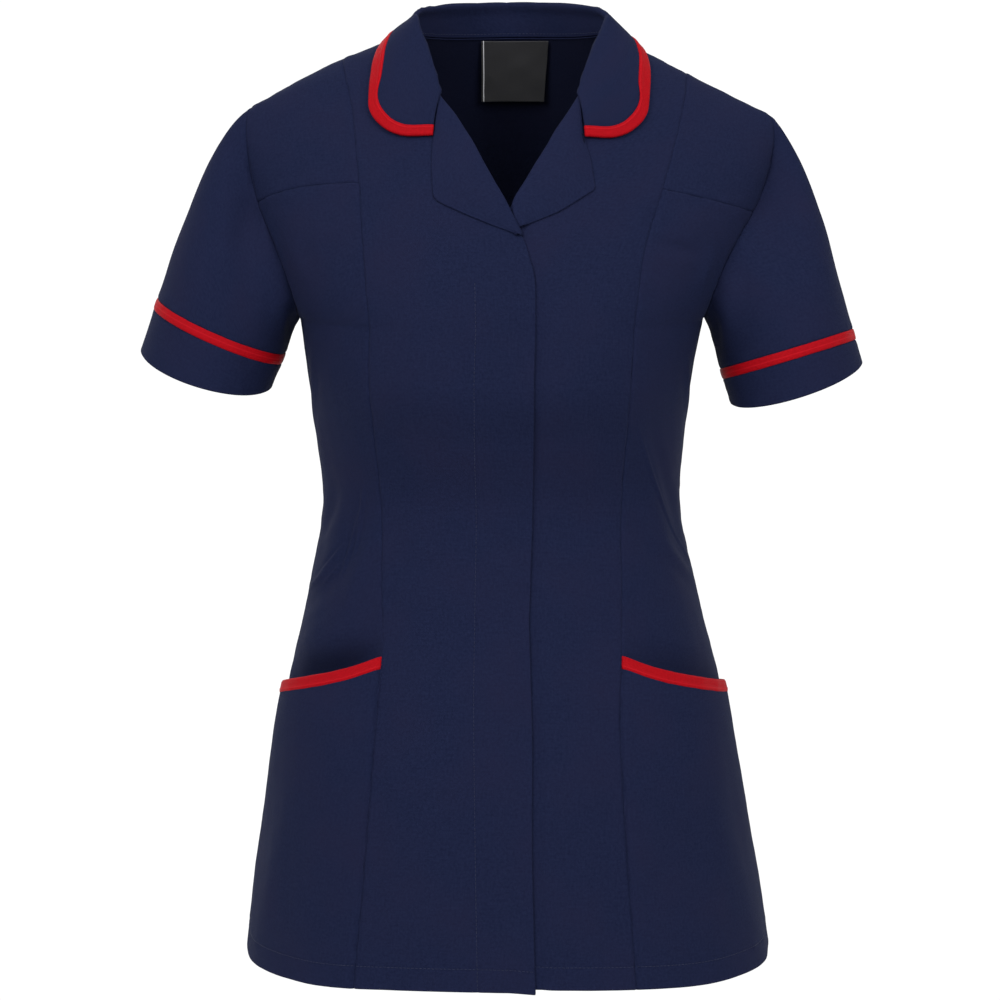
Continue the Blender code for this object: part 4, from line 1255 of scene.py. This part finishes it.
def pocket(side):
    look, name, f = pocketLook, sideNames[side], tunicForm
    column = spacing(look["wide"], look["step"])[None]
    share = mix(look["inset"], 1 - look["inset"], column)
    mouth = through(pocketMouth, name, share)
    tall = (mouth + 1) * (f["underarmZ"] - f["hemZ"])
    stop = 1 - look["bindingWide"] / tall
    fromSeam = np.minimum(column, 1 - column) * look["wide"]

    def at(height, extra):
        level = mix(look["foot"], mouth, height)
        turn = mix(through(princessSeam, name, level), side * 90, share)
        gape = look["gape"] * smooth(height * 1.6 - 0.6) * np.sin(np.pi * share**1.3) ** 0.8
        lift = look["lift"] * (1 - 0.8 * bump(fromSeam / look["seamRoll"]))
        points = onForm(turn, level, lift + gape + extra)
        return leftward(points, side)

    heights = spacing(look["tall"], look["step"])[:, None] * stop
    patch = hemmed(sewn(at(heights, 0.0), ["start", "end"], 91 + side))
    piece = clothPiece(name + "Pocket", "pocket_" + name, patch, hemWalls(patch))
    hemStitches(name + "PocketHemStitches", piece, patch)
    across = np.linspace(0, 1, 19)[:, None]
    binding = at(mix(stop - 0.001, 1.0, across), 0.0005 + edgingSwell(across))
    binding = raised(binding, waves(binding, look["bindingWaves"], 93 + side))
    node, wall = "pocket_binding_" + name, look["bindingWall"]
    clothPiece(name + "PocketBinding", node, binding, wall, redBinding)


def neckLabel():
    look = labelLook
    along, share = spacing(look["wide"], look["step"]), spacing(look["long"], look["step"])[:, None]
    turns = mix(*look["turns"], along)[None] + 0 * share
    height = mix(*look["z"], share)
    low, high = np.zeros_like(turns), np.ones_like(turns)
    for _ in range(24):  # finds the level where the form has each height
        middle = (low + high) / 2
        isLow = plainForm(turns, middle)[..., 2] < height
        low, high = np.where(isLow, middle, low), np.where(isLow, high, middle)
    across = 2 * along[None] - 1
    hang = mix(*look["hang"], share) + look["curl"] * across**2 * (1 - share)
    points = plainForm(turns, low) - facing(turns, low) * hang[..., None]
    points = raised(points, waves(points, look["waves"], 97))
    clothPiece("neckLabel", "neck_label", points, look["wall"], labelSatin)


for side in (-1, 1):
    pocket(side)
neckLabel()
print("tunic: pockets and label made")


studioLook = dict(
    lens=116.37,
    cameraAt=(-0.0039, -2.5, -0.0312),
    lookDown=7.465,
    floorZ=-1.25,
    floorHalf=1.3,
    floor=(0.84, 0.84, 0.84),
    floorCloud=(0.82, 0.82, 0.825),
    backdrop=(1.0, 1.0, 1.0),  # a white backdrop behind, and a dimmer room in front
    room=(0.5, 0.5, 0.51),
    worldStrength=1.06,
    backdropEdge=(0.25, 0.4),
    lightsFace=(0, 0, -0.35),
    lights=[  # place, size, watts
        ((-1.7, -2.2, 1.3), 1.5, 44.0),
        ((1.7, -2.2, 1.2), 1.5, 38.0),
        ((0.0, -1.6, 2.3), 1.6, 24.0),
        ((-1.1, 2.4, 1.4), 1.5, 22.0),
    ],
)


def floor():
    look, half = studioLook, studioLook["floorHalf"]
    corners = [(x * half, y * half, look["floorZ"]) for x, y in ((-1, -1), (1, -1), (1, 1), (-1, 1))]
    recipe = Recipe(bpy.data.materials.new("paleFloor"))
    place = recipe.add("TexCoord", {}, {}).other(3)
    cloud = recipe.noise(place, 3.0, 2.0)
    tint = recipe.blend(look["floor"], look["floorCloud"], cloud)
    material = recipe.finish({"Base Color": tint, "Roughness": 0.8})
    newPiece("floor", np.array(corners), [[0, 1, 2, 3]], [material])


def studio():
    look, scene = studioLook, bpy.context.scene
    camera = bpy.data.objects.new("camera", bpy.data.cameras.new("camera"))
    camera.data.lens = look["lens"]
    camera.location = look["cameraAt"]
    camera.rotation_euler = (math.radians(90 - look["lookDown"]), 0, 0)
    scene.collection.objects.link(camera)
    scene.camera = camera
    for k, (place, wide, watts) in enumerate(look["lights"]):
        light = bpy.data.lights.new(f"softLight{k}", "AREA")
        light.size, light.energy = wide, watts
        holder = bpy.data.objects.new(light.name, light)
        holder.location = place
        toMiddle = Vector(look["lightsFace"]) - holder.location
        holder.rotation_euler = toMiddle.to_track_quat("-Z", "Y").to_euler()
        scene.collection.objects.link(holder)
    recipe = Recipe(bpy.data.worlds.new("whiteBackdrop"))
    way = recipe.add("SeparateXYZ", {}, {0: recipe.add("TexCoord", {}, {})}).other(1)
    colour = recipe.blend(look["room"], look["backdrop"], way.past(*look["backdropEdge"]))
    scene.world = recipe.finish({"Color": colour, "Strength": look["worldStrength"]}, "Background")
    scene.view_settings.view_transform = "Standard"


floor()
studio()
print("tunic: studio made")
